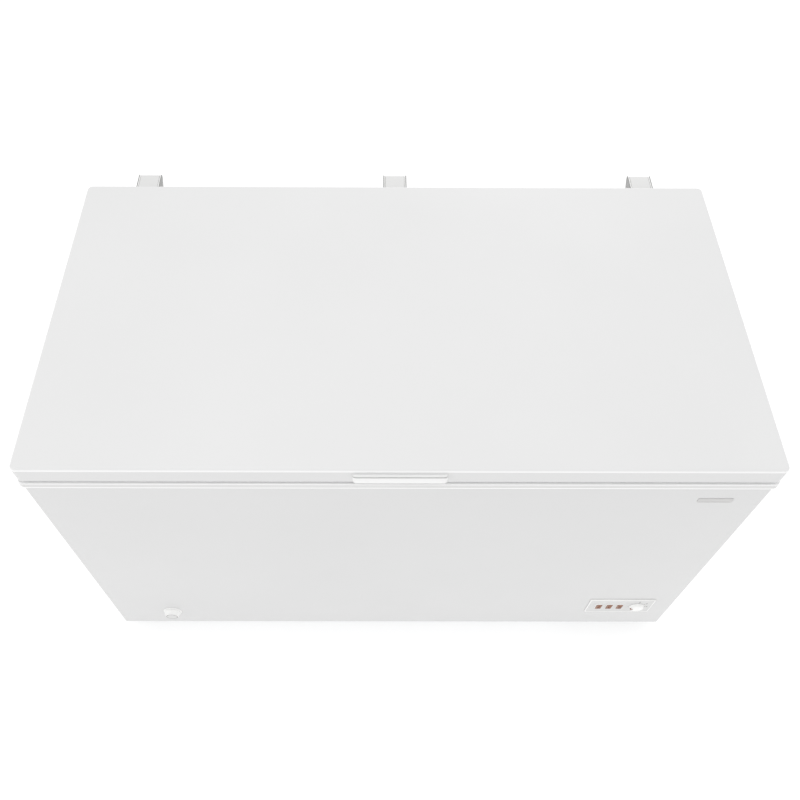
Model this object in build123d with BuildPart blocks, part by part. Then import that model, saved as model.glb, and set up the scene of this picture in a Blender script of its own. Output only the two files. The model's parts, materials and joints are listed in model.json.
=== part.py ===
"""Chest freezer with three sprung lid hinges, a hanging basket, four rollers and a machine room.

X runs to the right, Y to the back and Z up. The origin is under the middle of the whole freezer,
hinges and handle included, on the floor. Lengths are in millimetres.
"""
import os
from math import cos, radians, sin

from build123d import *

os.makedirs("parts", exist_ok=True)

# Overall sizes
height = 850
lid_width, lid_depth = 1388, 735
handle_projection, hinge_projection = 12, 50
body_width, body_bottom = 1380, 45
collar_width = 1390
sheet = 0.8
body_corner = 4
shank_radius, head_radius = 2, 4

# Depths, from the front of the handle to the back of the hinges
overall_depth = handle_projection + lid_depth + hinge_projection
lid_front = -overall_depth / 2 + handle_projection
lid_rear = lid_front + lid_depth
lid_middle = (lid_front + lid_rear) / 2
body_front = lid_front + 2.5
body_rear = lid_rear - 2
body_depth = body_rear - body_front
body_middle = (body_front + body_rear) / 2
panel_face = body_rear - sheet

# Lid
lid_corner, lid_edge = 12, 6
tray_bottom = height - 36
frame_bottom = tray_bottom - 8
frame_width = 26
liner_bottom = 798
gasket_width, gasket_bottom = 18, 802.3
handle_half = 85

# Handle: heights of its base, lip, groove and hooked bar, and how far its parts stand out
handle_bottom, handle_top = tray_bottom + 1, height - 14
lip_thickness, lip_projection = 1.5, 5
groove_top, groove_bottom = handle_top - 2.5, handle_top - 5
bar_top, bar_bottom = handle_top - 0.5, handle_top - 12
hollow_top = handle_top - 7.5
handle_wall, bar_wall, bar_thickness, bar_round = 2, 2.5, 4.5, 3.5

# Collar round the mouth of the cabinet
collar_top, collar_bottom = 802, 787
collar_wall = 2.5
ledge_top = 790.5
ledge_width = 12
wrapper_top = 797

# Food compartment
wall = 68
tub_width = body_width - 2 * wall
tub_front, tub_rear = -318, 284
tub_depth = tub_rear - tub_front
tub_middle = (tub_front + tub_rear) / 2
tub_corner = 30
tub_top = ledge_top - collar_wall
mouth_width = tub_width + 2 * ledge_width
mouth_depth = tub_depth + 2 * ledge_width
mouth_corner = tub_corner + ledge_width
floor_height = 140
step_x, step_height = 372, 350

# Machine room, at the lower right
room_left, room_top = 432, 292
pan_bottom = 50
pan_top = pan_bottom + 1
plate_top = pan_bottom + 2
foam_right = body_width / 2 - sheet
foam_front = body_front + sheet
flange_width = 15
opening_x, opening_z = 560, 172.5
opening_width, opening_height = 236, 225
cover_lap, cover_thickness = 6, 1.2
vent_x, vent_z = 560, 190
grille_y, grille_z = 180, 172
grille_opening_width, grille_opening_height = 200, 160
grille_lap, grille_thickness = 18, 2
slot_height, slot_pitch, slots_high = 6, 14, 10

# Hinges
hinge_places = [-563, 0, 563]
hinge_names = ["left", "middle", "right"]
pivot_y, pivot_z = lid_rear + 20, 802
pin_radius = 4
cam_radius, cam_rise, lid_opening = 19, 8, 80
cam_half = 4
arm_thickness, cheek_thickness = 2, 2.5
base_half = 26
spring_radius, spring_turns = 8.4, 8
rise_per_degree = cam_rise / lid_opening
web_top = height - 12
web_half = 24
seat_top = 693
crosshead_bottom = 770

# Rollers
roller_radius, roller_width = 22, 22
roller_x, roller_front, roller_rear = 627, -322, 285
roller_places = [(x, y) for y in (roller_front, roller_rear) for x in (-roller_x, roller_x)]
roller_names = ["front_left", "front_right", "rear_left", "rear_right"]
axle_radius = 4
running_clearance = 0.05

# Controls
controls_x, controls_z = 561, 168
controls_width, controls_height, controls_thickness = 156, 77, 3
controls_face = body_front - controls_thickness
cutout_width, cutout_height = 128, 56
badge_x, badge_z = 599, 733
lamp_places = [509, 534.5, 560]
lamp_names = ["left", "middle", "right"]
lamp_width, lamp_height = 12, 22
bezel = 2
knob_x, knob_radius, knob_depth = 602.5, 17.5, 7.6
shaft_radius = 3

# Drain
drain_x, drain_y, drain_z = -552, -265, 120
drain_bore, drain_outer = 6, 8
spout_radius = 10

# Coils
evaporator_tube, evaporator_pocket = 8, 9
evaporator_low, evaporator_pitch, evaporator_turns = 384, 74, 6
condenser_tube, condenser_pocket = 5, 6
condenser_low, condenser_pitch, condenser_runs = 300, 72, 6
condenser_end = 390


def finish(part, name):
    """Labels a piece and writes it."""
    part.label = name
    export_step(part, "parts/" + name + ".step")


# ---------------------------------------------------------------------------------------------------
# Shapes that more than one piece is cut by
# ---------------------------------------------------------------------------------------------------

def tub_shape(grow):
    """The space inside the tub, with its step over the machine room, grown on every side but the top."""
    with BuildPart() as shape:
        with BuildSketch(Plane.XZ.offset(-(tub_rear + grow))):
            with BuildLine():
                Polyline(
                    (-tub_width / 2 - grow, floor_height - grow),
                    (step_x + grow, floor_height - grow),
                    (step_x + grow, step_height - grow),
                    (tub_width / 2 + grow, step_height - grow),
                    (tub_width / 2 + grow, tub_top),
                    (-tub_width / 2 - grow, tub_top),
                    close=True,
                )
            make_face()
        extrude(amount=tub_depth + 2 * grow)
        fillet(shape.edges().filter_by(Axis.Z), radius=tub_corner + grow)
    return shape.part


# The drain's way from the floor of the tub to the front
with BuildPart() as drain_way:
    with BuildLine() as drain_line:
        FilletPolyline(
            (drain_x, drain_y, floor_height - sheet),
            (drain_x, drain_y, drain_z),
            (drain_x, foam_front, drain_z),
            radius=16,
        )
    with BuildSketch(Plane(origin=(drain_x, drain_y, floor_height - sheet), z_dir=(0, 0, -1))):
        Circle(drain_outer)
    sweep()

# Shanks of the screws that hold the hinges: on the cabinet and on the lid
base_screw_places = [(x + dx, z) for x in hinge_places for dx in (-15, 15) for z in (652, 674)]
lid_screw_places = [(x + dx, tray_bottom + 7) for x in hinge_places for dx in (-13, 13)]
base_plate_face = body_rear + 2
with BuildPart() as base_shanks:
    with BuildSketch(Plane.XZ.offset(-base_plate_face)):
        with Locations(*base_screw_places):
            Circle(shank_radius)
    extrude(amount=12)
with BuildPart() as lid_shanks:
    with BuildSketch(Plane.XZ.offset(-(lid_rear + 2))):
        with Locations(*lid_screw_places):
            Circle(shank_radius)
    extrude(amount=12)

# Shanks of the screws that hold the rear cover and the side grille
cover_screw_places = [(448, 66), (672, 66), (448, 279), (672, 279)]
grille_screw_places = [(72, 82), (288, 82), (72, 262), (288, 262)]
with BuildPart() as cover_shanks:
    with BuildSketch(Plane.XZ.offset(-(body_rear + cover_thickness))):
        with Locations(*cover_screw_places):
            Circle(shank_radius)
    extrude(amount=9)
with BuildPart() as grille_shanks:
    with BuildSketch(Plane.YZ.offset(body_width / 2 + grille_thickness)):
        with Locations(*grille_screw_places):
            Circle(shank_radius)
    extrude(amount=-10)

# ---------------------------------------------------------------------------------------------------
# Cabinet
# ---------------------------------------------------------------------------------------------------

# Painted steel wrapper: the front and both sides in one bent sheet, open at the back
with BuildPart() as outer_wrapper:
    with BuildSketch(Plane.XY.offset(body_bottom)):
        with Locations((0, (body_front + panel_face) / 2)):
            Rectangle(body_width, panel_face - body_front)
    extrude(amount=wrapper_top - body_bottom)
    front_edges = outer_wrapper.edges().filter_by(Axis.Z).group_by(Axis.Y)[0]
    fillet(front_edges, radius=body_corner)
    ends = outer_wrapper.faces().filter_by(Axis.Z)
    offset(amount=-sheet, openings=ends)
    with BuildSketch(Plane.XZ.offset(-panel_face - 1)):
        with Locations((0, 500)):
            Rectangle(body_width - 2 * flange_width, 1000)
    extrude(amount=sheet + 2, mode=Mode.SUBTRACT)
    # cut-outs for the controls, the drain and the side grille
    with BuildSketch(Plane.XZ.offset(-foam_front - 1)):
        with Locations((controls_x, controls_z)):
            Rectangle(cutout_width, cutout_height)
        with Locations((drain_x, drain_z)):
            Circle(drain_outer)
    extrude(amount=4, mode=Mode.SUBTRACT)
    with BuildSketch(Plane.YZ.offset(foam_right - 1)):
        with Locations((grille_y, grille_z)):
            Rectangle(grille_opening_width, grille_opening_height)
    extrude(amount=4, mode=Mode.SUBTRACT)
    add(grille_shanks.part, mode=Mode.SUBTRACT)
    add(cover_shanks.part, mode=Mode.SUBTRACT)
finish(outer_wrapper.part, "outer_wrapper")

# Back sheet, with the opening of the machine room
with BuildPart() as rear_panel:
    with BuildSketch(Plane.XZ.offset(-body_rear)):
        with Locations((0, (body_bottom + wrapper_top) / 2)):
            Rectangle(body_width, wrapper_top - body_bottom)
        with Locations((opening_x, opening_z)):
            Rectangle(opening_width, opening_height, mode=Mode.SUBTRACT)
    extrude(amount=sheet)
    add(base_shanks.part, mode=Mode.SUBTRACT)
    add(cover_shanks.part, mode=Mode.SUBTRACT)
finish(rear_panel.part, "rear_panel")

# Bottom sheet under the foam
with BuildPart() as base_pan:
    with BuildSketch(Plane.XY.offset(pan_bottom)):
        with Locations(((room_left - foam_right) / 2, (foam_front + panel_face - sheet) / 2)):
            Rectangle(room_left + foam_right, panel_face - sheet - foam_front)
    extrude(amount=pan_top - pan_bottom)
    left_edges = base_pan.edges().filter_by(Axis.Z).sort_by(Axis.X)[:2]
    fillet(left_edges.sort_by(Axis.Y)[:1], radius=body_corner - sheet)
finish(base_pan.part, "base_pan")

# Insulating foam between the sheets and the tub
with BuildPart() as cabinet_foam:
    with BuildSketch(Plane.XY.offset(pan_top)):
        with Locations((0, (foam_front + panel_face - sheet) / 2)):
            Rectangle(2 * foam_right, panel_face - sheet - foam_front)
    extrude(amount=collar_top - collar_wall - pan_top)
    fillet(cabinet_foam.edges().filter_by(Axis.Z).group_by(Axis.Y)[0], radius=body_corner - sheet)
    # the machine room
    with BuildSketch(Plane.XY.offset(pan_top)):
        with Locations(((room_left - sheet + 800) / 2, 0)):
            Rectangle(800 - room_left + sheet, 1000)
    extrude(amount=room_top + sheet - pan_top, mode=Mode.SUBTRACT)
    add(tub_shape(sheet), mode=Mode.SUBTRACT)
    # room for the collar's riser and ledge and for the tub's rim
    with BuildSketch(Plane.XY.offset(tub_top - sheet)):
        with Locations((0, tub_middle)):
            RectangleRounded(
                mouth_width + 2 * collar_wall,
                mouth_depth + 2 * collar_wall,
                mouth_corner + collar_wall,
            )
    extrude(amount=30, mode=Mode.SUBTRACT)
    # pocket for the evaporator, round the tub
    with BuildSketch(Plane.XY.offset(evaporator_low - 15)):
        with Locations((0, tub_middle)):
            RectangleRounded(
                tub_width + 2 * (sheet + evaporator_pocket),
                tub_depth + 2 * (sheet + evaporator_pocket),
                tub_corner + sheet + evaporator_pocket,
            )
    extrude(amount=evaporator_turns * evaporator_pitch - 40, mode=Mode.SUBTRACT)
    # pocket for the condenser, inside the front, the left side and the back
    with BuildSketch(Plane.XY.offset(condenser_low - 20)):
        with Locations((-280, 0)):
            Rectangle(1400, 1000)
        pocket_middle = ((-foam_right + condenser_pocket + 1000) / 2, (foam_front + panel_face - sheet) / 2)
        with Locations(pocket_middle):
            RectangleRounded(
                foam_right - condenser_pocket + 1000,
                panel_face - sheet - foam_front - 2 * condenser_pocket,
                30 - condenser_pocket / 2,
                mode=Mode.SUBTRACT,
            )
    extrude(amount=condenser_pitch * (condenser_runs - 1) + 40, mode=Mode.SUBTRACT)
    add(drain_way.part, mode=Mode.SUBTRACT)
    add(base_shanks.part, mode=Mode.SUBTRACT)
finish(cabinet_foam.part, "cabinet_foam")

# Coated aluminium tub of the food compartment
with BuildPart() as inner_liner:
    add(tub_shape(sheet))
    add(tub_shape(0), mode=Mode.SUBTRACT)
    # rim that the collar's ledge sits on
    with BuildSketch(Plane.XY.offset(tub_top - sheet)):
        with Locations((0, tub_middle)):
            RectangleRounded(mouth_width, mouth_depth, mouth_corner)
            RectangleRounded(tub_width, tub_depth, tub_corner, mode=Mode.SUBTRACT)
    extrude(amount=sheet)
    with BuildSketch(Plane.XY.offset(floor_height - 5)):
        with Locations((drain_x, drain_y)):
            Circle(drain_bore)
    extrude(amount=10, mode=Mode.SUBTRACT)
finish(inner_liner.part, "inner_liner")

# Moulded collar: outer skirt, top web that the gasket lies on, riser and ledge for the basket
collar_front = body_front - (collar_width - body_width) / 2
collar_depth = lid_rear - collar_front
collar_middle = (collar_front + lid_rear) / 2
with BuildPart() as top_collar:
    with BuildSketch(Plane.XY.offset(collar_bottom)):
        with Locations((0, collar_middle)):
            RectangleRounded(collar_width, collar_depth, lid_corner)
    extrude(amount=collar_top - collar_bottom)
    fillet(top_collar.faces().sort_by(Axis.Z)[-1].edges(), radius=2)
    # hollow behind the skirt
    with BuildSketch(Plane.XY.offset(collar_bottom + collar_wall)):
        with Locations((0, (collar_front + collar_wall + body_rear) / 2)):
            Rectangle(collar_width - 2 * collar_wall, body_rear - collar_front - collar_wall)
        with Locations((0, tub_middle)):
            RectangleRounded(
                mouth_width + 2 * collar_wall,
                mouth_depth + 2 * collar_wall,
                mouth_corner + collar_wall,
                mode=Mode.SUBTRACT,
            )
    extrude(amount=collar_top - collar_bottom - 2 * collar_wall, mode=Mode.SUBTRACT)
    # the body comes up through the skirt's lower lip
    with BuildSketch(Plane.XY.offset(collar_bottom)):
        with Locations((0, (body_front + body_rear) / 2)):
            Rectangle(body_width, body_depth)
        with Locations((0, tub_middle)):
            RectangleRounded(
                mouth_width + 2 * collar_wall,
                mouth_depth + 2 * collar_wall,
                mouth_corner + collar_wall,
                mode=Mode.SUBTRACT,
            )
    extrude(amount=collar_wall, mode=Mode.SUBTRACT)
    # mouth, down to the ledge
    with BuildSketch(Plane.XY.offset(ledge_top)):
        with Locations((0, tub_middle)):
            RectangleRounded(mouth_width, mouth_depth, mouth_corner)
    extrude(amount=40, mode=Mode.SUBTRACT)
    # below the ledge nothing but the tub's own mouth
    with BuildSketch(Plane.XY.offset(collar_bottom - 1)):
        with Locations((0, tub_middle)):
            RectangleRounded(
                mouth_width + 2 * collar_wall,
                mouth_depth + 2 * collar_wall,
                mouth_corner + collar_wall,
            )
    extrude(amount=tub_top - collar_bottom + 1, mode=Mode.SUBTRACT)
    with BuildSketch(Plane.XY.offset(collar_bottom - 1)):
        with Locations((0, tub_middle)):
            RectangleRounded(tub_width, tub_depth, tub_corner)
    extrude(amount=50, mode=Mode.SUBTRACT)
finish(top_collar.part, "top_collar")

# Evaporator: one tube wound round the tub
coil_half_x = tub_width / 2 + sheet + evaporator_pocket / 2
coil_front = tub_front - sheet - evaporator_pocket / 2
coil_rear = tub_rear + sheet + evaporator_pocket / 2
evaporator_points = [(0, coil_front, evaporator_low)]
for turn in range(evaporator_turns - 1):
    z = evaporator_low + turn * evaporator_pitch
    evaporator_points += [
        (coil_half_x, coil_front, z),
        (coil_half_x, coil_rear, z),
        (-coil_half_x, coil_rear, z + evaporator_pitch),
        (-coil_half_x, coil_front, z + evaporator_pitch),
    ]
evaporator_points += [(0, coil_front, z + evaporator_pitch)]
with BuildPart() as evaporator_coil:
    with BuildLine():
        FilletPolyline(*evaporator_points, radius=tub_corner + sheet + evaporator_pocket / 2)
    with BuildSketch(Plane(origin=evaporator_points[0], z_dir=(1, 0, 0))):
        Circle(evaporator_tube / 2)
    sweep()
finish(evaporator_coil.part, "evaporator_coil")

# Condenser: one tube that goes to and fro inside the front, the left side and the back
run_front = foam_front + condenser_pocket / 2
run_left = -foam_right + condenser_pocket / 2
run_rear = panel_face - sheet - condenser_pocket / 2
condenser_points = []
for run in range(condenser_runs):
    z = condenser_low + run * condenser_pitch
    there = [
        (condenser_end, run_front, z),
        (run_left, run_front, z),
        (run_left, run_rear, z),
        (condenser_end, run_rear, z),
    ]
    condenser_points += there if run % 2 == 0 else there[::-1]
with BuildPart() as condenser_coil:
    with BuildLine():
        FilletPolyline(*condenser_points, radius=30)
    with BuildSketch(Plane(origin=condenser_points[0], z_dir=(-1, 0, 0))):
        Circle(condenser_tube / 2)
    sweep()
finish(condenser_coil.part, "condenser_coil")

# ---------------------------------------------------------------------------------------------------
# Machine room
# ---------------------------------------------------------------------------------------------------

# Bent sheet that walls the machine room off from the foam
with BuildPart() as machine_room_liner:
    with BuildSketch(Plane.XZ.offset(-(panel_face - sheet))):
        with BuildLine():
            Polyline(
                (room_left - sheet, pan_top),
                (room_left, pan_top),
                (room_left, room_top),
                (foam_right, room_top),
                (foam_right, room_top + sheet),
                (room_left - sheet, room_top + sheet),
                close=True,
            )
        make_face()
    extrude(amount=panel_face - sheet - foam_front - 10)
finish(machine_room_liner.part, "machine_room_liner")

# Steel plate that carries the compressor
bolt_places = [(x, y) for x in (492, 628) for y in (150, 250)]
with BuildPart() as compressor_plate:
    with BuildSketch(Plane.XY.offset(pan_bottom)):
        with Locations(((room_left + foam_right) / 2 + 0.1, (foam_front + panel_face - sheet) / 2)):
            Rectangle(foam_right - room_left - 0.2, panel_face - sheet - foam_front - 20)
        with Locations(*bolt_places):
            Circle(3, mode=Mode.SUBTRACT)
    extrude(amount=plate_top - pan_bottom)
finish(compressor_plate.part, "compressor_plate")

grommet_height = 14
foot_bottom = plate_top + 9
# Rubber mounts: each has a neck through the hole in the compressor's foot
with BuildPart() as compressor_grommets:
    with BuildSketch(Plane.XY.offset(plate_top)):
        with Locations(*bolt_places):
            Circle(11)
            Circle(3, mode=Mode.SUBTRACT)
    extrude(amount=foot_bottom - plate_top)
    with BuildSketch(Plane.XY.offset(foot_bottom)):
        with Locations(*bolt_places):
            Circle(7)
            Circle(3, mode=Mode.SUBTRACT)
    extrude(amount=grommet_height - (foot_bottom - plate_top))
finish(compressor_grommets.part, "compressor_grommets")

with BuildPart() as compressor_bolts:
    with BuildSketch(Plane.XY.offset(pan_bottom - 4)):
        with Locations(*bolt_places):
            Circle(7)
    extrude(amount=4)
    with BuildSketch(Plane.XY.offset(pan_bottom)):
        with Locations(*bolt_places):
            Circle(3)
    extrude(amount=plate_top + grommet_height + 6 - pan_bottom)
    with BuildSketch(Plane.XY.offset(plate_top + grommet_height)):
        with Locations(*bolt_places):
            RegularPolygon(radius=7, side_count=6)
    extrude(amount=5)
finish(compressor_bolts.part, "compressor_bolts")

# Hermetic compressor: a drawn shell with a weld seam, on a foot plate
compressor_x, compressor_y = 560, 200
shell_low = foot_bottom + 3
with BuildPart() as compressor:
    with BuildSketch(Plane.XY.offset(foot_bottom)):
        with Locations((compressor_x, compressor_y)):
            RectangleRounded(166, 130, 12)
        with Locations(*bolt_places):
            Circle(7, mode=Mode.SUBTRACT)
    extrude(amount=3)
    with BuildSketch(Plane.XY.offset(shell_low)):
        with Locations((compressor_x, compressor_y)):
            Ellipse(66, 58)
    extrude(amount=150)
    fillet(compressor.faces().sort_by(Axis.Z)[-1].edges(), radius=34)
    with BuildSketch(Plane.XY.offset(shell_low + 84)):
        with Locations((compressor_x, compressor_y)):
            Ellipse(70, 62)
    extrude(amount=4)
finish(compressor.part, "compressor")

# Starting relay and terminals, under a clip-on cover on the compressor's left side
with BuildPart() as relay_cover:
    with BuildSketch(Plane.XY.offset(shell_low + 14)):
        with Locations((compressor_x - 72, compressor_y)):
            Rectangle(30, 52)
    extrude(amount=58)
    fillet(relay_cover.edges().filter_by(Axis.Z), radius=5)
    with BuildSketch(Plane.XY.offset(shell_low + 10)):
        with Locations((compressor_x, compressor_y)):
            Ellipse(66, 58)
    extrude(amount=70, mode=Mode.SUBTRACT)
finish(relay_cover.part, "relay_cover")

drier_x, drier_y, drier_z = 470, 40, 200
with BuildPart() as filter_drier:
    with BuildSketch(Plane.XZ.offset(-(drier_y + 50))):
        with Locations((drier_x, drier_z)):
            Circle(10)
    extrude(amount=100)
    fillet(filter_drier.edges(), radius=5)
    with BuildSketch(Plane.XZ.offset(-(drier_y - 49))):
        with Locations((drier_x, drier_z)):
            Circle(2)
    extrude(amount=20)
finish(filter_drier.part, "filter_drier")

# Copper pipes from the compressor: the suction pipe to the evaporator, the discharge pipe to the condenser
pipe_radius = 3
pipe_low = shell_low + 60
with BuildPart() as suction_pipe:
    with BuildLine():
        FilletPolyline(
            (compressor_x + 67, compressor_y + 12, pipe_low),
            (compressor_x + 100, compressor_y + 12, pipe_low),
            (compressor_x + 100, compressor_y + 12, 262),
            (compressor_x + 100, compressor_y - 140, 262),
            (room_left, compressor_y - 140, 262),
            radius=18,
        )
    with BuildSketch(Plane(origin=(compressor_x + 67, compressor_y + 12, pipe_low), z_dir=(1, 0, 0))):
        Circle(pipe_radius)
    sweep()
finish(suction_pipe.part, "suction_pipe")

with BuildPart() as discharge_pipe:
    with BuildLine():
        FilletPolyline(
            (compressor_x + 10, compressor_y - 59, pipe_low - 20),
            (compressor_x + 10, compressor_y - 110, pipe_low - 20),
            (compressor_x + 10, compressor_y - 110, 160),
            (compressor_x + 10, compressor_y - 230, 160),
            (room_left, compressor_y - 230, 160),
            radius=12,
        )
    with BuildSketch(Plane(origin=(compressor_x + 10, compressor_y - 59, pipe_low - 20), z_dir=(0, -1, 0))):
        Circle(pipe_radius)
    sweep()
finish(discharge_pipe.part, "discharge_pipe")

# Pressed side grille
with BuildPart() as side_grille:
    with BuildSketch(Plane.YZ.offset(body_width / 2)):
        with Locations((grille_y, grille_z)):
            RectangleRounded(grille_opening_width + 2 * grille_lap, grille_opening_height + 40, 6)
            with GridLocations(86, slot_pitch, 2, slots_high):
                SlotOverall(74, slot_height, mode=Mode.SUBTRACT)
    extrude(amount=grille_thickness)
    add(grille_shanks.part, mode=Mode.SUBTRACT)
finish(side_grille.part, "side_grille")

# Slotted cover over the back of the machine room, with a hole for the cord gland
gland_x, gland_z, gland_radius, gland_bore = 470, 88, 7, 4
with BuildPart() as rear_cover:
    with BuildSketch(Plane.XZ.offset(-(body_rear + cover_thickness))):
        with Locations((opening_x, opening_z)):
            Rectangle(opening_width + 2 * cover_lap, opening_height + 8)
        with Locations((vent_x, vent_z)):
            with GridLocations(96, slot_pitch, 2, slots_high):
                SlotOverall(84, slot_height, mode=Mode.SUBTRACT)
        with Locations((gland_x, gland_z)):
            Circle(gland_radius, mode=Mode.SUBTRACT)
    extrude(amount=cover_thickness)
    add(cover_shanks.part, mode=Mode.SUBTRACT)
finish(rear_cover.part, "rear_cover")

with BuildPart() as cord_gland:
    with BuildSketch(Plane.XZ.offset(-(body_rear + 5))):
        with Locations((gland_x, gland_z)):
            Circle(10)
    extrude(amount=5 - cover_thickness)
    with BuildSketch(Plane.XZ.offset(-(body_rear + cover_thickness))):
        with Locations((gland_x, gland_z)):
            Circle(gland_radius)
    extrude(amount=cover_thickness)
    with BuildSketch(Plane.XZ.offset(-body_rear)):
        with Locations((gland_x, gland_z)):
            Circle(9)
    extrude(amount=4)
    with BuildSketch(Plane.XZ.offset(-(body_rear + 5))):
        with Locations((gland_x, gland_z)):
            Circle(gland_bore)
    extrude(amount=9, mode=Mode.SUBTRACT)
finish(cord_gland.part, "cord_gland")

with BuildPart() as cover_screws:
    add(cover_shanks.part)
    add(grille_shanks.part)
    with BuildSketch(Plane.XZ.offset(-(body_rear + cover_thickness + 2.2))):
        with Locations(*cover_screw_places):
            Circle(head_radius)
    extrude(amount=2.2)
    with BuildSketch(Plane.YZ.offset(body_width / 2 + grille_thickness)):
        with Locations(*grille_screw_places):
            Circle(head_radius)
    extrude(amount=2.2)
finish(cover_screws.part, "cover_screws")

# ---------------------------------------------------------------------------------------------------
# Controls
# ---------------------------------------------------------------------------------------------------

with BuildPart() as control_panel:
    with BuildSketch(Plane.XZ.offset(-body_front)):
        with Locations((controls_x, controls_z)):
            RectangleRounded(controls_width, controls_height, 5)
    extrude(amount=controls_thickness)
    fillet(control_panel.faces().sort_by(Axis.Y)[0].edges(), radius=1.2)
    # rim that snaps into the cut-out
    with BuildSketch(Plane.XZ.offset(-(body_front + 9))):
        with Locations((controls_x, controls_z)):
            Rectangle(cutout_width, cutout_height)
            Rectangle(cutout_width - 4, cutout_height - 4, mode=Mode.SUBTRACT)
    extrude(amount=9)
    with BuildSketch(Plane.XZ.offset(-(body_front + 1))):
        with Locations(*[(x, controls_z) for x in lamp_places]):
            Rectangle(lamp_width, lamp_height)
        with Locations((knob_x, controls_z)):
            Circle(5)
    extrude(amount=controls_thickness + 2, mode=Mode.SUBTRACT)
finish(control_panel.part, "control_panel")

# Dark frames round the lamps
with BuildPart() as lamp_frames:
    with BuildSketch(Plane.XZ.offset(-controls_face)):
        with Locations(*[(x, controls_z) for x in lamp_places]):
            RectangleRounded(lamp_width + 2 * bezel, lamp_height + 2 * bezel, 2)
            Rectangle(lamp_width, lamp_height, mode=Mode.SUBTRACT)
    extrude(amount=1.6)
finish(lamp_frames.part, "lamp_frames")

for x, name in zip(lamp_places, lamp_names):
    with BuildPart() as lamp:
        with BuildSketch(Plane.XZ.offset(-(body_front + 6))):
            with Locations((x, controls_z)):
                Rectangle(lamp_width, lamp_height)
        extrude(amount=6 + controls_thickness + 3)
        fillet(lamp.faces().sort_by(Axis.Y)[0].edges(), radius=1.5)
    finish(lamp.part, "lamp_" + name)

# Thermostat with the bush that its shaft turns in
with BuildPart() as thermostat:
    with BuildSketch(Plane.XZ.offset(-(body_front + 44))):
        with Locations((knob_x, controls_z)):
            RectangleRounded(36, 44, 3)
    extrude(amount=32)
    with BuildSketch(Plane.XZ.offset(-(body_front + 12))):
        with Locations((knob_x, controls_z)):
            Circle(5)
    extrude(amount=12 + controls_thickness)
    with BuildSketch(Plane.XZ.offset(-(body_front + 36))):
        with Locations((knob_x, controls_z)):
            Circle(shaft_radius + running_clearance)
    extrude(amount=50, mode=Mode.SUBTRACT)
finish(thermostat.part, "thermostat")

knob_face = controls_face - 0.4 - knob_depth
with BuildPart() as thermostat_shaft:
    with BuildSketch(Plane.XZ.offset(-(body_front + 35))):
        with Locations((knob_x, controls_z)):
            Circle(shaft_radius)
    extrude(amount=body_front + 35 - knob_face - 2)
finish(thermostat_shaft.part, "thermostat_shaft")

with BuildPart() as thermostat_knob:
    with BuildSketch(Plane.XZ.offset(-(controls_face - 0.4))):
        with Locations((knob_x, controls_z)):
            Circle(knob_radius)
    extrude(amount=knob_depth, taper=6)
    fillet(thermostat_knob.faces().sort_by(Axis.Y)[0].edges(), radius=1.4)
    with BuildSketch(Plane.XZ.offset(-(controls_face - 0.4))):
        with Locations((knob_x, controls_z)):
            Circle(shaft_radius)
    extrude(amount=knob_depth - 2, mode=Mode.SUBTRACT)
    # pointer groove, towards the left
    with BuildSketch(Plane.XZ.offset(-(knob_face + 0.8))):
        with Locations((knob_x - 11, controls_z)):
            SlotOverall(8, 2.4)
    extrude(amount=4, mode=Mode.SUBTRACT)
finish(thermostat_knob.part, "thermostat_knob")

with BuildPart() as badge:
    with BuildSketch(Plane.XZ.offset(-body_front)):
        with Locations((badge_x, badge_z)):
            RectangleRounded(67, 15, 3)
    extrude(amount=1.2)
    fillet(badge.faces().sort_by(Axis.Y)[0].edges(), radius=0.5)
finish(badge.part, "badge")

# ---------------------------------------------------------------------------------------------------
# Drain
# ---------------------------------------------------------------------------------------------------

with BuildPart() as drain_tube:
    add(drain_way.part)
    with BuildLine(mode=Mode.PRIVATE) as bore_line:
        add(drain_line.line)
    with BuildSketch(Plane(origin=(drain_x, drain_y, floor_height - sheet), z_dir=(0, 0, -1))):
        Circle(drain_bore)
    sweep(path=bore_line.line, mode=Mode.SUBTRACT)
finish(drain_tube.part, "drain_tube")

spout_length = 10
with BuildPart() as drain_spout:
    with BuildSketch(Plane.XZ.offset(-body_front)):
        with Locations((drain_x, drain_z)):
            Circle(17)
    extrude(amount=2)
    with BuildSketch(Plane.XZ.offset(-(body_front - 2))):
        with Locations((drain_x, drain_z)):
            Circle(spout_radius)
    extrude(amount=spout_length - 2)
    with BuildSketch(Plane.XZ.offset(-foam_front)):
        with Locations((drain_x, drain_z)):
            Circle(drain_outer)
    extrude(amount=sheet)
    with BuildSketch(Plane.XZ.offset(-foam_front)):
        with Locations((drain_x, drain_z)):
            Circle(drain_bore)
    extrude(amount=30, mode=Mode.SUBTRACT)
finish(drain_spout.part, "drain_spout")

cap_base, cap_tip, cap_depth = 20.5, 15.5, 12
cap_back = body_front - 2.4
with BuildPart() as drain_cap:
    with BuildSketch(Plane.XZ.offset(-cap_back)):
        with Locations((drain_x, drain_z)):
            Circle(cap_base)
    with BuildSketch(Plane.XZ.offset(-(cap_back - cap_depth))):
        with Locations((drain_x, drain_z)):
            Circle(cap_tip)
    loft()
    fillet(drain_cap.faces().sort_by(Axis.Y)[0].edges(), radius=2)
    with BuildSketch(Plane.XZ.offset(-cap_back)):
        with Locations((drain_x, drain_z)):
            Circle(spout_radius + 0.4)
    extrude(amount=cap_depth - 3, mode=Mode.SUBTRACT)
finish(drain_cap.part, "drain_cap")

with BuildPart() as drain_plug:
    with BuildSketch(Plane.XY.offset(floor_height)):
        with Locations((drain_x, drain_y)):
            Circle(15)
    extrude(amount=6)
    fillet(drain_plug.faces().sort_by(Axis.Z)[-1].edges(), radius=2)
    with BuildSketch(Plane.XY.offset(floor_height - 8)):
        with Locations((drain_x, drain_y)):
            Circle(drain_bore - 0.4)
    extrude(amount=8)
finish(drain_plug.part, "drain_plug")

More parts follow.
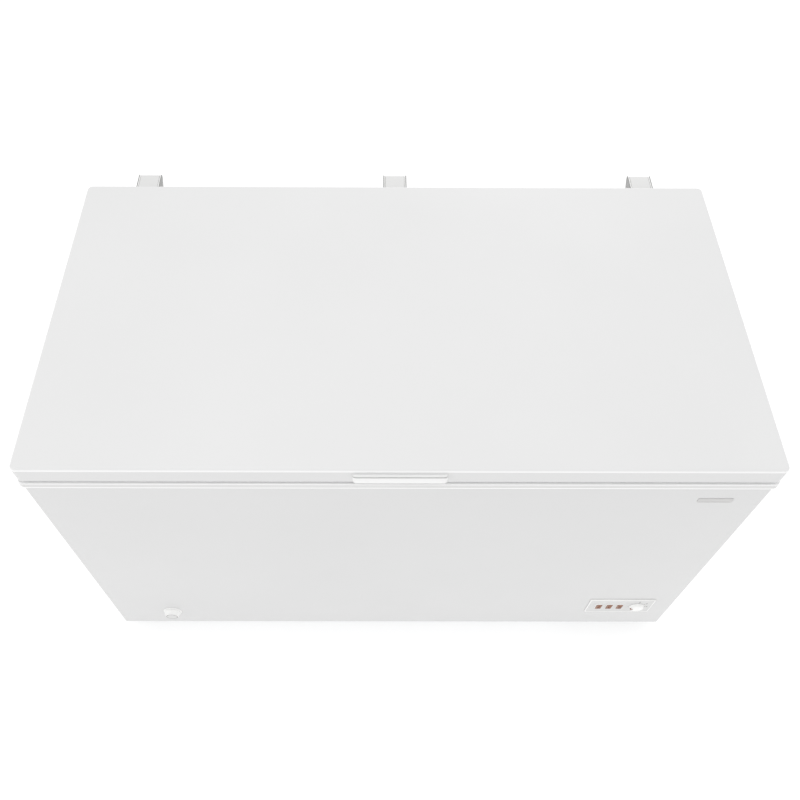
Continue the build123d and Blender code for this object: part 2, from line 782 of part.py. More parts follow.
# ---------------------------------------------------------------------------------------------------
# Rollers
# ---------------------------------------------------------------------------------------------------

with BuildPart() as roller_brackets:
    with BuildSketch(Plane.XY.offset(pan_bottom - 2)):
        with Locations(*roller_places):
            RectangleRounded(44, 52, 5)
    extrude(amount=2)
    for x, y in roller_places:
        for side in (-1, 1):
            with BuildSketch(Plane.YZ.offset(x + side * 13 - 1)):
                with BuildLine():
                    Line((y - 14, pan_bottom - 2), (y + 14, pan_bottom - 2))
                    Line((y + 14, pan_bottom - 2), (y + 9, roller_radius))
                    ThreePointArc((y + 9, roller_radius), (y, roller_radius - 9), (y - 9, roller_radius))
                    Line((y - 9, roller_radius), (y - 14, pan_bottom - 2))
                make_face()
                with Locations((y, roller_radius)):
                    Circle(axle_radius, mode=Mode.SUBTRACT)
            extrude(amount=2)
finish(roller_brackets.part, "roller_brackets")

with BuildPart() as roller_axles:
    for x, y in roller_places:
        with BuildSketch(Plane.YZ.offset(x - 15)):
            with Locations((y, roller_radius)):
                Circle(axle_radius)
        extrude(amount=30)
        for end in (-17, 14):
            with BuildSketch(Plane.YZ.offset(x + end)):
                with Locations((y, roller_radius)):
                    Circle(6)
            extrude(amount=3)
finish(roller_axles.part, "roller_axles")

for (x, y), name in zip(roller_places, roller_names):
    with BuildPart() as roller:
        with BuildSketch(Plane.YZ.offset(x - roller_width / 2)):
            with Locations((y, roller_radius)):
                Circle(roller_radius)
        extrude(amount=roller_width)
        fillet(roller.edges(), radius=2)
        for face in (x - roller_width / 2, x + roller_width / 2 - 3):
            with BuildSketch(Plane.YZ.offset(face)):
                with Locations((y, roller_radius)):
                    Circle(roller_radius - 5)
                    Circle(8, mode=Mode.SUBTRACT)
            extrude(amount=3, mode=Mode.SUBTRACT)
        with BuildSketch(Plane.YZ.offset(x - roller_width / 2 - 1)):
            with Locations((y, roller_radius)):
                Circle(axle_radius + running_clearance)
        extrude(amount=roller_width + 2, mode=Mode.SUBTRACT)
    finish(roller.part, "roller_" + name)

# ---------------------------------------------------------------------------------------------------
# Basket: the space that the wire basket fills, hung from the collar's front and rear ledges
# ---------------------------------------------------------------------------------------------------

basket_x, basket_width = 454, 320
basket_front, basket_rear = tub_front + 5, tub_rear - 5
basket_bottom, hanger_bottom = 552, ledge_top + 0.3
basket_wire = 3.5
with BuildPart() as wire_basket:
    with BuildSketch(Plane.XY.offset(basket_bottom)):
        with Locations((basket_x, (basket_front + basket_rear) / 2)):
            RectangleRounded(basket_width, basket_rear - basket_front, 20)
    extrude(amount=hanger_bottom + basket_wire - basket_bottom)
    offset(amount=-basket_wire, openings=wire_basket.faces().sort_by(Axis.Z)[-1])
    # hangers over the front and rear ledges
    with BuildSketch(Plane.XY.offset(hanger_bottom)):
        with Locations((basket_x, tub_middle)):
            Rectangle(basket_width - 60, mouth_depth - 1)
            Rectangle(basket_width, basket_rear - basket_front - 1, mode=Mode.SUBTRACT)
    extrude(amount=basket_wire)
finish(wire_basket.part, "wire_basket")

# ---------------------------------------------------------------------------------------------------
# Lid
# ---------------------------------------------------------------------------------------------------

with BuildPart() as tray_space:
    with BuildSketch(Plane.XY.offset(tray_bottom)):
        with Locations((0, lid_middle)):
            RectangleRounded(lid_width - 2 * sheet, lid_depth - 2 * sheet, lid_corner - sheet)
    extrude(amount=height - sheet - tray_bottom)
    fillet(tray_space.faces().sort_by(Axis.Z)[-1].edges(), radius=lid_edge - sheet)

# Painted steel tray that makes the top and sides of the lid
with BuildPart() as lid_outer_panel:
    with BuildSketch(Plane.XY.offset(tray_bottom)):
        with Locations((0, lid_middle)):
            RectangleRounded(lid_width, lid_depth, lid_corner)
    extrude(amount=height - tray_bottom)
    fillet(lid_outer_panel.faces().sort_by(Axis.Z)[-1].edges(), radius=lid_edge)
    add(tray_space.part, mode=Mode.SUBTRACT)
    add(lid_shanks.part, mode=Mode.SUBTRACT)
finish(lid_outer_panel.part, "lid_outer_panel")

# Plastic frame round the underside, with an upstand inside the painted tray
upstand_wall = 3
upstand_top = tray_bottom + 13
plug_width, plug_depth = mouth_width - 16, mouth_depth - 16
with BuildPart() as lid_frame:
    with BuildSketch(Plane.XY.offset(frame_bottom)):
        with Locations((0, lid_middle)):
            RectangleRounded(lid_width, lid_depth, lid_corner)
    extrude(amount=tray_bottom - frame_bottom)
    fillet(lid_frame.faces().sort_by(Axis.Z)[0].edges(), radius=2.5)
    with BuildSketch(Plane.XY.offset(tray_bottom)):
        with Locations((0, lid_middle)):
            RectangleRounded(lid_width - 2 * sheet, lid_depth - 2 * sheet, lid_corner - sheet)
    extrude(amount=upstand_top - tray_bottom)
    with BuildSketch(Plane.XY.offset(tray_bottom)):
        with Locations((0, lid_middle)):
            RectangleRounded(
                lid_width - 2 * sheet - 2 * upstand_wall,
                lid_depth - 2 * sheet - 2 * upstand_wall,
                lid_corner - sheet - upstand_wall,
            )
    extrude(amount=upstand_top - tray_bottom, mode=Mode.SUBTRACT)
    with BuildSketch(Plane.XY.offset(frame_bottom - 1)):
        with Locations((0, lid_middle)):
            RectangleRounded(lid_width - 2 * frame_width, lid_depth - 2 * frame_width, 4)
    extrude(amount=tray_bottom - frame_bottom + 2, mode=Mode.SUBTRACT)
    add(lid_shanks.part, mode=Mode.SUBTRACT)
finish(lid_frame.part, "lid_frame")

# Formed inner sheet: a flange on the frame, the gasket's seat and a shallow plug into the mouth
liner_wall = 1.5
gasket_top = tray_bottom - liner_wall
flange_half = upstand_wall + sheet
with BuildPart() as lid_liner:
    with BuildSketch(Plane.XY.offset(tray_bottom)):
        with Locations((0, lid_middle)):
            Rectangle(lid_width - 2 * flange_half - 20, lid_depth - 2 * flange_half - 20)
        with Locations((0, tub_middle)):
            RectangleRounded(
                plug_width - 2 * liner_wall,
                plug_depth - 2 * liner_wall,
                mouth_corner,
                mode=Mode.SUBTRACT,
            )
    extrude(amount=liner_wall)
    with BuildSketch(Plane.XY.offset(liner_bottom)):
        with Locations((0, tub_middle)):
            RectangleRounded(plug_width, plug_depth, mouth_corner + 2)
    extrude(amount=tray_bottom - liner_bottom)
    with BuildSketch(Plane.XY.offset(liner_bottom + liner_wall)):
        with Locations((0, tub_middle)):
            RectangleRounded(plug_width - 2 * liner_wall, plug_depth - 2 * liner_wall, mouth_corner)
    extrude(amount=60, mode=Mode.SUBTRACT)
    fillet(lid_liner.faces().sort_by(Axis.Z)[0].edges(), radius=1.4)
finish(lid_liner.part, "lid_liner")

# Soft magnetic gasket, held against the liner inside the frame
with BuildPart() as lid_gasket:
    with BuildSketch(Plane.XY.offset(gasket_bottom)):
        with Locations((0, lid_middle)):
            RectangleRounded(lid_width - 2 * frame_width - 1, lid_depth - 2 * frame_width - 1, 6)
            RectangleRounded(
                lid_width - 2 * frame_width - 1 - 2 * gasket_width,
                lid_depth - 2 * frame_width - 1 - 2 * gasket_width,
                6,
                mode=Mode.SUBTRACT,
            )
    extrude(amount=tray_bottom - gasket_bottom)
    fillet(lid_gasket.faces().sort_by(Axis.Z)[0].edges(), radius=3)
finish(lid_gasket.part, "lid_gasket")

with BuildPart() as lid_foam:
    with BuildSketch(Plane.XY.offset(tray_bottom + liner_wall)):
        with Locations((0, lid_middle)):
            RectangleRounded(
                lid_width - 2 * flange_half,
                lid_depth - 2 * flange_half,
                lid_corner - flange_half,
            )
    extrude(amount=upstand_top - tray_bottom - liner_wall)
    with BuildSketch(Plane.XY.offset(upstand_top)):
        with Locations((0, lid_middle)):
            RectangleRounded(lid_width - 2 * sheet, lid_depth - 2 * sheet, lid_corner - sheet)
    extrude(amount=height - sheet - upstand_top)
    fillet(lid_foam.faces().sort_by(Axis.Z)[-1].edges(), radius=lid_edge - sheet)
    with BuildSketch(Plane.XY.offset(liner_bottom + liner_wall)):
        with Locations((0, tub_middle)):
            RectangleRounded(plug_width - 2 * liner_wall, plug_depth - 2 * liner_wall, mouth_corner)
    extrude(amount=tray_bottom + liner_wall - liner_bottom - liner_wall)
    add(lid_shanks.part, mode=Mode.SUBTRACT)
finish(lid_foam.part, "lid_foam")

# Handle: a base on the front of the lid, a thin lip, a groove and a hooked bar that the fingers go under
handle_front = lid_front - handle_projection
with BuildPart() as lid_handle:
    with BuildSketch(Plane.YZ.offset(-handle_half)):
        with BuildLine():
            Polyline(
                (lid_front, handle_bottom),
                (lid_front, handle_top),
                (lid_front - lip_projection, handle_top),
                (lid_front - lip_projection, handle_top - lip_thickness),
                (lid_front - handle_wall, groove_top),
                (lid_front - handle_wall, groove_bottom),
                (handle_front + bar_thickness, groove_bottom),
                (handle_front + bar_thickness, bar_top),
                (handle_front + bar_round, bar_top),
            )
            RadiusArc(
                (handle_front + bar_round, bar_top),
                (handle_front, bar_top - bar_round),
                -bar_round,
            )
            Line((handle_front, bar_top - bar_round), (handle_front, bar_bottom))
            RadiusArc((handle_front, bar_bottom), (handle_front + bar_wall, bar_bottom), -bar_wall / 2)
            Polyline(
                (handle_front + bar_wall, bar_bottom),
                (handle_front + bar_wall, hollow_top),
                (lid_front - handle_wall, hollow_top),
                (lid_front - handle_wall, handle_bottom),
                (lid_front, handle_bottom),
            )
        make_face()
    extrude(amount=2 * handle_half)
finish(lid_handle.part, "lid_handle")

# ---------------------------------------------------------------------------------------------------
# Hinges: the arm is screwed to the lid and the base to the cabinet. A spring lifts a plunger against
# the cam on the arm, and the cam's radius falls evenly as the lid opens.
# ---------------------------------------------------------------------------------------------------

cam_start, cam_end = -15, 95
cam_points = []
for angle in range(cam_start, cam_end + 1, 5):
    cam_reach = cam_radius - rise_per_degree * min(max(angle, 0), lid_opening)
    turn = radians(angle)
    cam_points.append((pivot_y + cam_reach * sin(turn), pivot_z - cam_reach * cos(turn)))
for x, name in zip(hinge_places, hinge_names):
    with BuildPart() as hinge_arm:
        # leaf on the lid, and the web over the hinge
        with BuildSketch(Plane.XZ.offset(-(lid_rear + 2))):
            with Locations((x, (tray_bottom + web_top) / 2)):
                Rectangle(2 * web_half - 2, web_top - tray_bottom)
        extrude(amount=2)
        with BuildSketch(Plane.XY.offset(web_top - arm_thickness)):
            with Locations((x, lid_rear + hinge_projection / 2)):
                Rectangle(2 * web_half, hinge_projection)
        extrude(amount=arm_thickness)
        # cheeks down to the pin
        for edge in (x - web_half - cheek_thickness, x + web_half):
            with BuildSketch(Plane.YZ.offset(edge)):
                with BuildLine():
                    Polyline(
                        (lid_rear + 2, web_top),
                        (lid_rear + hinge_projection, web_top),
                        (lid_rear + hinge_projection, web_top - 6),
                        (pivot_y + 12, pivot_z),
                        (pivot_y - 12, pivot_z),
                        (lid_rear + 2, web_top - 16),
                        close=True,
                    )
                make_face()
                with Locations((pivot_y, pivot_z)):
                    Circle(12)
            extrude(amount=cheek_thickness)
        # cam plate in the middle
        with BuildSketch(Plane.YZ.offset(x - cam_half)):
            with BuildLine():
                Polyline((pivot_y, pivot_z), *cam_points, close=True)
            make_face()
            with Locations((pivot_y, pivot_z)):
                Circle(8)
            with Locations((pivot_y, (pivot_z + web_top - 2) / 2)):
                Rectangle(14, web_top - 2 - pivot_z)
        extrude(amount=2 * cam_half)
        with BuildSketch(Plane.YZ.offset(x - 30)):
            with Locations((pivot_y, pivot_z)):
                Circle(pin_radius + running_clearance)
        extrude(amount=60, mode=Mode.SUBTRACT)
        add(lid_shanks.part, mode=Mode.SUBTRACT)
    finish(hinge_arm.part, "hinge_arm_" + name)

    with BuildPart() as hinge_base:
        with BuildSketch(Plane.XZ.offset(-base_plate_face)):
            with Locations((x, 709)):
                Rectangle(2 * base_half, 138)
        extrude(amount=arm_thickness)
        for edge in (x - 21, x + 19):
            with BuildSketch(Plane.YZ.offset(edge)):
                with BuildLine():
                    Polyline(
                        (base_plate_face, 684),
                        (pivot_y + 8, 684),
                        (pivot_y + 10, 700),
                        (pivot_y + 10, pivot_z),
                        (pivot_y - 10, pivot_z),
                        (lid_rear + 3, 784),
                        (base_plate_face, 776),
                        close=True,
                    )
                make_face()
                with Locations((pivot_y, pivot_z)):
                    Circle(10)
            extrude(amount=2)
        # seat of the spring, which guides the plunger's rod
        with BuildSketch(Plane.XY.offset(seat_top - 3)):
            with Locations((x, (base_plate_face + pivot_y + 9) / 2)):
                Rectangle(38, pivot_y + 9 - base_plate_face)
            with Locations((x, pivot_y)):
                Circle(3.5, mode=Mode.SUBTRACT)
        extrude(amount=3)
        with BuildSketch(Plane.YZ.offset(x - 30)):
            with Locations((pivot_y, pivot_z)):
                Circle(pin_radius)
        extrude(amount=60, mode=Mode.SUBTRACT)
        add(base_shanks.part, mode=Mode.SUBTRACT)
    finish(hinge_base.part, "hinge_base_" + name)

with BuildPart() as hinge_pins:
    for x in hinge_places:
        with BuildSketch(Plane.YZ.offset(x - 28)):
            with Locations((pivot_y, pivot_z)):
                Circle(pin_radius)
        extrude(amount=56)
        for end in (-30, 28):
            with BuildSketch(Plane.YZ.offset(x + end)):
                with Locations((pivot_y, pivot_z)):
                    Circle(6)
            extrude(amount=2)
finish(hinge_pins.part, "hinge_pins")

plunger_gap = 0.8
roller_top = pivot_z - cam_radius - plunger_gap
with BuildPart() as hinge_plungers:
    for x in hinge_places:
        with BuildSketch(Plane.XY.offset(672)):
            with Locations((x, pivot_y)):
                Circle(3)
        extrude(amount=crosshead_bottom - 672)
        with BuildSketch(Plane.XY.offset(crosshead_bottom - 3)):
            with Locations((x, pivot_y)):
                Circle(10)
        extrude(amount=3)
        with BuildSketch(Plane.YZ.offset(x - 7)):
            with Locations((pivot_y, roller_top - 4)):
                Circle(4)
            with Locations((pivot_y, (crosshead_bottom + roller_top - 4) / 2)):
                Rectangle(8, roller_top - 4 - crosshead_bottom)
        extrude(amount=14)
finish(hinge_plungers.part, "hinge_plungers")

spring_wire = 1.3
spring_height = crosshead_bottom - 3 - seat_top - 2 * spring_wire
with BuildPart() as spring:
    with BuildLine() as coil:
        Helix(pitch=spring_height / spring_turns, height=spring_height, radius=spring_radius)
    with BuildSketch(Plane(origin=coil.line @ 0, z_dir=coil.line % 0)):
        Circle(spring_wire)
    sweep(is_frenet=True)
with BuildPart() as hinge_springs:
    for x in hinge_places:
        with Locations((x, pivot_y, seat_top + spring_wire)):
            add(spring.part)
finish(hinge_springs.part, "hinge_springs")

with BuildPart() as hinge_base_screws:
    add(base_shanks.part)
    with BuildSketch(Plane.XZ.offset(-(base_plate_face + 2.4))):
        with Locations(*base_screw_places):
            Circle(head_radius)
    extrude(amount=2.4)
finish(hinge_base_screws.part, "hinge_base_screws")

with BuildPart() as hinge_lid_screws:
    add(lid_shanks.part)
    with BuildSketch(Plane.XZ.offset(-(lid_rear + 4.4))):
        with Locations(*lid_screw_places):
            Circle(head_radius)
    extrude(amount=2.4)
finish(hinge_lid_screws.part, "hinge_lid_screws")
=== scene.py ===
"""The looks of the chest freezer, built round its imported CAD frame. Lengths are in metres."""
import json
from math import cos, pi, radians, sin

import bmesh
import bpy
from mathutils import Matrix, Vector


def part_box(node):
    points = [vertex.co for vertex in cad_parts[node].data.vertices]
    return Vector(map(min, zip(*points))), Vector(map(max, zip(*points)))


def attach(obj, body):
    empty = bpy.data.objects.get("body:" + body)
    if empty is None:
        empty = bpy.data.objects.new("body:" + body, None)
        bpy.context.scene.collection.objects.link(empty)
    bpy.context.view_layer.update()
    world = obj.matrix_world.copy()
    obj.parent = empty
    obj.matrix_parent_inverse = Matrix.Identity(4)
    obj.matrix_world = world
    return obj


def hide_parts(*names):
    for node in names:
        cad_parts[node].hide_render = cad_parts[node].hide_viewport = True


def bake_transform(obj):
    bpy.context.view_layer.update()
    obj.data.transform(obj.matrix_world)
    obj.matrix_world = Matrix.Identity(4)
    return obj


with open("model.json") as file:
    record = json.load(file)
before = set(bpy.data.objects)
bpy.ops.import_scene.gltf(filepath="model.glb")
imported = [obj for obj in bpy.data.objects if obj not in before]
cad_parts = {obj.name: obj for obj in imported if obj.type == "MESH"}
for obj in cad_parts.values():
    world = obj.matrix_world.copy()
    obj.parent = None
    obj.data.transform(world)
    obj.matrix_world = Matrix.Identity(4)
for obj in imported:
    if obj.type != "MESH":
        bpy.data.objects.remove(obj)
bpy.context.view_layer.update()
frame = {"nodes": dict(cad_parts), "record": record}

scene = bpy.context.scene
nodes = frame["nodes"]
mm = 0.001


# ---- Camera, light and floor ----

def place_camera():
    """Above and in front of the freezer, looking down at its lid."""
    pitch, yaw, roll = radians(56.78), radians(-0.39), radians(0.45)
    forward = Vector((-sin(yaw) * cos(pitch), cos(yaw) * cos(pitch), -sin(pitch)))
    level = Vector((cos(yaw), sin(yaw), 0))
    above = level.cross(forward)
    right = cos(roll) * level + sin(roll) * above
    up = -sin(roll) * level + cos(roll) * above
    lens = bpy.data.cameras.new("camera")
    lens.sensor_width = 36
    lens.lens = 36.57
    lens.shift_x = 0.0285
    lens.shift_y = 0.017
    camera = bpy.data.objects.new("camera", lens)
    scene.collection.objects.link(camera)
    turn = Matrix((right, up, -forward)).transposed().to_4x4()
    camera.matrix_world = Matrix.Translation((-0.0464, -1.0887, 2.1058)) @ turn
    scene.camera = camera


def area_light(name, place, aim, size, watts):
    light = bpy.data.lights.new(name, "AREA")
    light.shape = "DISK"
    light.size = size
    light.energy = watts
    lamp = bpy.data.objects.new(name, light)
    lamp.location = place
    lamp.rotation_euler = (Vector(aim) - Vector(place)).to_track_quat("-Z", "Y").to_euler()
    scene.collection.objects.link(lamp)


def light_studio():
    """A white room lit mostly from above, so that the front is a little darker than the lid."""
    world = bpy.data.worlds.new("studio")
    world.use_nodes = True
    backdrop = world.node_tree.nodes["Background"]
    backdrop.inputs["Color"].default_value = (1, 1, 1, 1)
    backdrop.inputs["Strength"].default_value = 0.92
    scene.world = world
    scene.view_settings.view_transform = "Standard"
    area_light("overhead", (0, -0.3, 3.6), (0, 0, 0.5), 2.8, 8)
    area_light("left", (-3.0, -1.6, 2.0), (0, 0, 0.5), 1.6, 6)
    area_light("back", (0.8, 3.0, 1.8), (0, 0, 0.4), 2.0, 8)


def lay_floor():
    mesh = bpy.data.meshes.new("floor")
    half = 30
    corners = [(-half, -half, 0), (half, -half, 0), (half, half, 0), (-half, half, 0)]
    mesh.from_pydata(corners, [], [(0, 1, 2, 3)])
    floor = bpy.data.objects.new("floor", mesh)
    scene.collection.objects.link(floor)
    paint, tools = new_material("studio_floor")
    tools.give("Base Color", (0.45, 0.45, 0.45, 1))
    tools.give("Roughness", 0.9)
    tools.give("Emission Color", (1, 1, 1, 1))
    tools.give("Emission Strength", 0.66)
    tools.give("Specular IOR Level", 0.1)
    mesh.materials.append(paint)


# ---- Materials ----

class Tools:
    """The node tree of one material, with short ways to add what the finishes share."""

    def __init__(self, material):
        material.use_nodes = True
        self.tree = material.node_tree
        self.shader = self.tree.nodes["Principled BSDF"]
        self.place = self.tree.nodes.new("ShaderNodeTexCoord").outputs["Object"]

    def join(self, source, target):
        self.tree.links.new(source, target)

    def give(self, socket, value):
        self.shader.inputs[socket].default_value = value

    def mapped(self, scale):
        """Object coordinates, stretched."""
        node = self.tree.nodes.new("ShaderNodeMapping")
        node.inputs["Scale"].default_value = scale
        self.join(self.place, node.inputs["Vector"])
        return node.outputs["Vector"]

    def noise(self, scale, detail=3, vector=None, roughness=0.5):
        node = self.tree.nodes.new("ShaderNodeTexNoise")
        node.inputs["Scale"].default_value = scale
        node.inputs["Detail"].default_value = detail
        node.inputs["Roughness"].default_value = roughness
        self.join(vector or self.place, node.inputs["Vector"])
        return node.outputs["Fac"]

    def cells(self, scale, feature="F1", vector=None, output="Distance"):
        node = self.tree.nodes.new("ShaderNodeTexVoronoi")
        node.feature = feature
        node.inputs["Scale"].default_value = scale
        self.join(vector or self.place, node.inputs["Vector"])
        return node.outputs[output]

    def between(self, value, low, high, start=0.3, end=0.7):
        """A number or a colour that goes from low to high as value goes from start to end."""
        node = self.tree.nodes.new("ShaderNodeValToRGB")
        ramp = node.color_ramp
        ramp.elements[0].position = start
        ramp.elements[1].position = end
        ramp.elements[0].color = (*low, 1) if hasattr(low, "__len__") else (low, low, low, 1)
        ramp.elements[1].color = (*high, 1) if hasattr(high, "__len__") else (high, high, high, 1)
        self.join(value, node.inputs["Fac"])
        return node.outputs["Color"]

    def colour(self, value, low, high, start=0.3, end=0.7):
        shade = self.between(value, low, high, start, end)
        self.join(shade, self.shader.inputs["Base Color"])
        return shade

    def ramp(self, value, start, end):
        """Nought at start, one at end, and no more or less beyond."""
        node = self.tree.nodes.new("ShaderNodeMapRange")
        node.inputs["From Min"].default_value = start
        node.inputs["From Max"].default_value = end
        self.join(value, node.inputs["Value"])
        return node.outputs["Result"]

    def paint_line(self, shade, low, high, tone, soft=0.0006):
        """A level line of another tone round the piece, between two heights; the script uses it only for
        painted shade and painted highlights.
        """
        split = self.tree.nodes.new("ShaderNodeSeparateXYZ")
        self.join(self.place, split.inputs["Vector"])
        both = self.tree.nodes.new("ShaderNodeMath")
        both.operation = "MULTIPLY"
        self.join(self.ramp(split.outputs["Z"], low - soft, low + soft), both.inputs[0])
        self.join(self.ramp(split.outputs["Z"], high + soft, high - soft), both.inputs[1])
        mix = self.tree.nodes.new("ShaderNodeMix")
        mix.data_type = "RGBA"
        self.join(both.outputs["Value"], mix.inputs["Factor"])
        self.join(shade, mix.inputs["A"])
        mix.inputs["B"].default_value = (tone, tone, tone, 1)
        self.join(mix.outputs["Result"], self.shader.inputs["Base Color"])
        return mix.outputs["Result"]

    def rough(self, value, low, high, start=0.3, end=0.7):
        self.join(self.between(value, low, high, start, end), self.shader.inputs["Roughness"])

    def bump(self, height, depth, strength=1.0, under=None):
        node = self.tree.nodes.new("ShaderNodeBump")
        node.inputs["Distance"].default_value = depth
        node.inputs["Strength"].default_value = strength
        self.join(height, node.inputs["Height"])
        if under:
            self.join(under, node.inputs["Normal"])
        self.join(node.outputs["Normal"], self.shader.inputs["Normal"])
        return node.outputs["Normal"]


def new_material(name):
    """An empty material and the tools that work on it."""
    material = bpy.data.materials.new(name)
    return material, Tools(material)


def tint(colour, factor):
    """The colour made lighter or darker."""
    return tuple(min(1.0, part * factor) for part in colour)


def enamel(name, colour, roughness=0.34, peel=0.00006, lines=()):
    """Baked paint on sheet steel, with a faint orange peel. Each line is a band of another tone, painted
    shade or a painted highlight.
    """
    material, tools = new_material(name)
    shade = tools.colour(tools.noise(2.2, 4), tint(colour, 0.985), tint(colour, 1.01))
    for low, high, tone in lines:
        shade = tools.paint_line(shade, low, high, tone)
    tools.rough(tools.noise(9, 5), roughness - 0.05, roughness + 0.08)
    waves = tools.bump(tools.noise(5, 2), 0.0008, 0.25)
    tools.bump(tools.noise(330, 2), peel, 0.6, waves)
    tools.give("Coat Weight", 0.25)
    tools.give("Coat Roughness", 0.12)
    return material


def moulded(name, colour, roughness=0.42, grain=900, depth=0.00004, lines=()):
    """Injection-moulded plastic: a fine spark-eroded grain and slight flow marks. Each line is a level band
    of another tone, used as a painted highlight.
    """
    material, tools = new_material(name)
    flow = tools.noise(6, 3, tools.mapped((1, 3, 3)))
    shade = tools.colour(flow, tint(colour, 0.975), tint(colour, 1.015))
    for low, high, tone in lines:
        shade = tools.paint_line(shade, low, high, tone)
    tools.rough(tools.noise(40, 4), roughness - 0.05, roughness + 0.07)
    tools.bump(tools.noise(grain, 3), depth, 0.7)
    return material


def rolled_metal(name, colour, roughness, stretch=(1, 40, 40), fine=60):
    """Bare metal with its rolling or drawing lines along one way."""
    material, tools = new_material(name)
    lines = tools.noise(fine, 6, tools.mapped(stretch), 0.7)
    tools.colour(lines, tint(colour, 0.86), tint(colour, 1.1))
    tools.rough(tools.noise(fine / 2, 5, tools.mapped(stretch)), roughness - 0.08, roughness + 0.12)
    tools.bump(lines, 0.00003, 0.5)
    tools.give("Metallic", 1.0)
    return material


def galvanised(name, colour):
    """Hot-dipped zinc, with crystal spangle."""
    material, tools = new_material(name)
    spangle = tools.cells(55, output="Color")
    tools.colour(spangle, tint(colour, 0.85), tint(colour, 1.12), 0.1, 0.9)
    tools.rough(tools.cells(55, output="Color"), 0.32, 0.58, 0.1, 0.9)
    tools.bump(tools.cells(55), 0.00005, 0.4)
    tools.give("Metallic", 1.0)
    return material


def stucco_metal(name, colour):
    """Aluminium sheet embossed with small pillows, under a thin lacquer."""
    material, tools = new_material(name)
    tools.colour(tools.noise(7, 4), tint(colour, 0.95), tint(colour, 1.03))
    tools.rough(tools.noise(30, 4), 0.30, 0.46)
    tools.bump(tools.cells(170, "SMOOTH_F1"), 0.0009, 0.7)
    tools.give("Metallic", 0.75)
    return material


def rubbery(name, colour, roughness=0.62):
    """Matt rubber with a fine dusty grain."""
    material, tools = new_material(name)
    tools.colour(tools.noise(25, 5), tint(colour, 0.9), tint(colour, 1.08))
    tools.rough(tools.noise(60, 4), roughness - 0.08, roughness + 0.1)
    tools.bump(tools.noise(1500, 3), 0.00004, 0.8)
    tools.give("Specular IOR Level", 0.35)
    return material


def foamed(name, colour):
    """Rigid polyurethane foam, cut open: closed cells, mottled in tone."""
    material, tools = new_material(name)
    tools.colour(tools.noise(14, 6), tint(colour, 0.82), tint(colour, 1.06))
    tools.rough(tools.noise(50, 3), 0.8, 0.95)
    tools.bump(tools.cells(600), 0.0004, 0.9)
    return material


def tarnished(name, colour):
    """Drawn copper tube with brown heat tarnish."""
    material, tools = new_material(name)
    stain = tools.noise(30, 6)
    tools.colour(stain, tint(colour, 0.55), colour, 0.35, 0.6)
    tools.rough(stain, 0.5, 0.25, 0.35, 0.6)
    tools.bump(tools.noise(700, 2), 0.00003, 0.5)
    tools.give("Metallic", 1.0)
    return material


def lens_plastic(name, colour):
    """Tinted lamp lens, mottled lighter and darker at random, with fine moulded lines."""
    material, tools = new_material(name)
    tools.colour(tools.noise(260, 3), tint(colour, 0.75), tint(colour, 1.35))
    tools.rough(tools.noise(400, 2), 0.16, 0.26)
    tools.bump(tools.noise(1100, 2), 0.00005, 0.6)
    tools.give("Coat Weight", 0.5)
    return material


white = (0.80, 0.80, 0.80)
finishes = {
    "white_painted_steel": enamel("white_painted_steel", white),
    "white_plastic": moulded("white_plastic", (0.82, 0.82, 0.81)),
    "galvanised_steel": galvanised("galvanised_steel", (0.60, 0.62, 0.64)),
    "zinc_plated_steel": rolled_metal("zinc_plated_steel", (0.56, 0.56, 0.57), 0.34),
    "hinge_steel": enamel("hinge_steel", (0.75, 0.75, 0.745), 0.42, 0.0001),
    "dark_plastic": moulded("dark_plastic", (0.035, 0.034, 0.034), 0.45, 700, 0.00006),
    "foam": foamed("foam", (0.80, 0.68, 0.42)),
    "embossed_aluminium": stucco_metal("embossed_aluminium", (0.84, 0.85, 0.86)),
    "gasket_rubber": rubbery("gasket_rubber", (0.88, 0.88, 0.87)),
    "black_rubber": rubbery("black_rubber", (0.02, 0.02, 0.02)),
    "black_painted_steel": enamel("black_painted_steel", (0.018, 0.018, 0.02), 0.36, 0.0002),
    "copper": tarnished("copper", (0.80, 0.42, 0.27)),
    "badge_metal": rolled_metal("badge_metal", (0.62, 0.615, 0.61), 0.36, (1, 60, 60)),
    "amber_lens": lens_plastic("amber_lens", (0.25, 0.088, 0.036)),
    "coated_wire": moulded("coated_wire", (0.78, 0.78, 0.77), 0.36, 500, 0.00008),
    "roller_plastic": moulded("roller_plastic", (0.05, 0.05, 0.052), 0.5, 600, 0.00008),
}
lid_low, lid_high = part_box("lid_outer_panel")
collar_low, collar_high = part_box("top_collar")
# Painted shade darkens the lid's upright skirt below its top edge, and a painted highlight runs along the
# rounded top edge.
lid_shade_and_highlight_lines = [
    (lid_low.z - 20 * mm, lid_high.z - 7.4 * mm, 0.715),
    (lid_high.z - 7.2 * mm, lid_high.z - 3 * mm, 0.92),
]
lid_shade_and_highlight_paint = enamel("lid_enamel_shade_and_highlight", white, lines=lid_shade_and_highlight_lines)
# The cabinet's white paint made darker than the lid's, as painted shade on its upright faces.
shaded_front_paint = enamel("cabinet_enamel_painted_shade", (0.70, 0.70, 0.70))
# Painted highlights along the collar's lower and upper edges; the collar's white plastic itself is made
# darker as painted shade.
collar_highlight_lines = [
    (collar_low.z - 1 * mm, collar_low.z + 2.6 * mm, 0.99),
    (collar_high.z - 2 * mm, collar_high.z + 1 * mm, 0.92),
]
collar_shade_and_highlight_plastic = moulded("collar_shade_and_highlight_plastic", (0.725, 0.725, 0.72), lines=collar_highlight_lines)
# White plastic made darker as painted shade, for the control panel and the front face of the drain cap.
painted_shade_plastic = moulded("painted_shade_plastic", (0.71, 0.71, 0.705))
# White plastic made lighter as painted highlight on the handle's bar.
handle_highlight_plastic = moulded("handle_highlight_plastic", (0.90, 0.90, 0.895), 0.36)
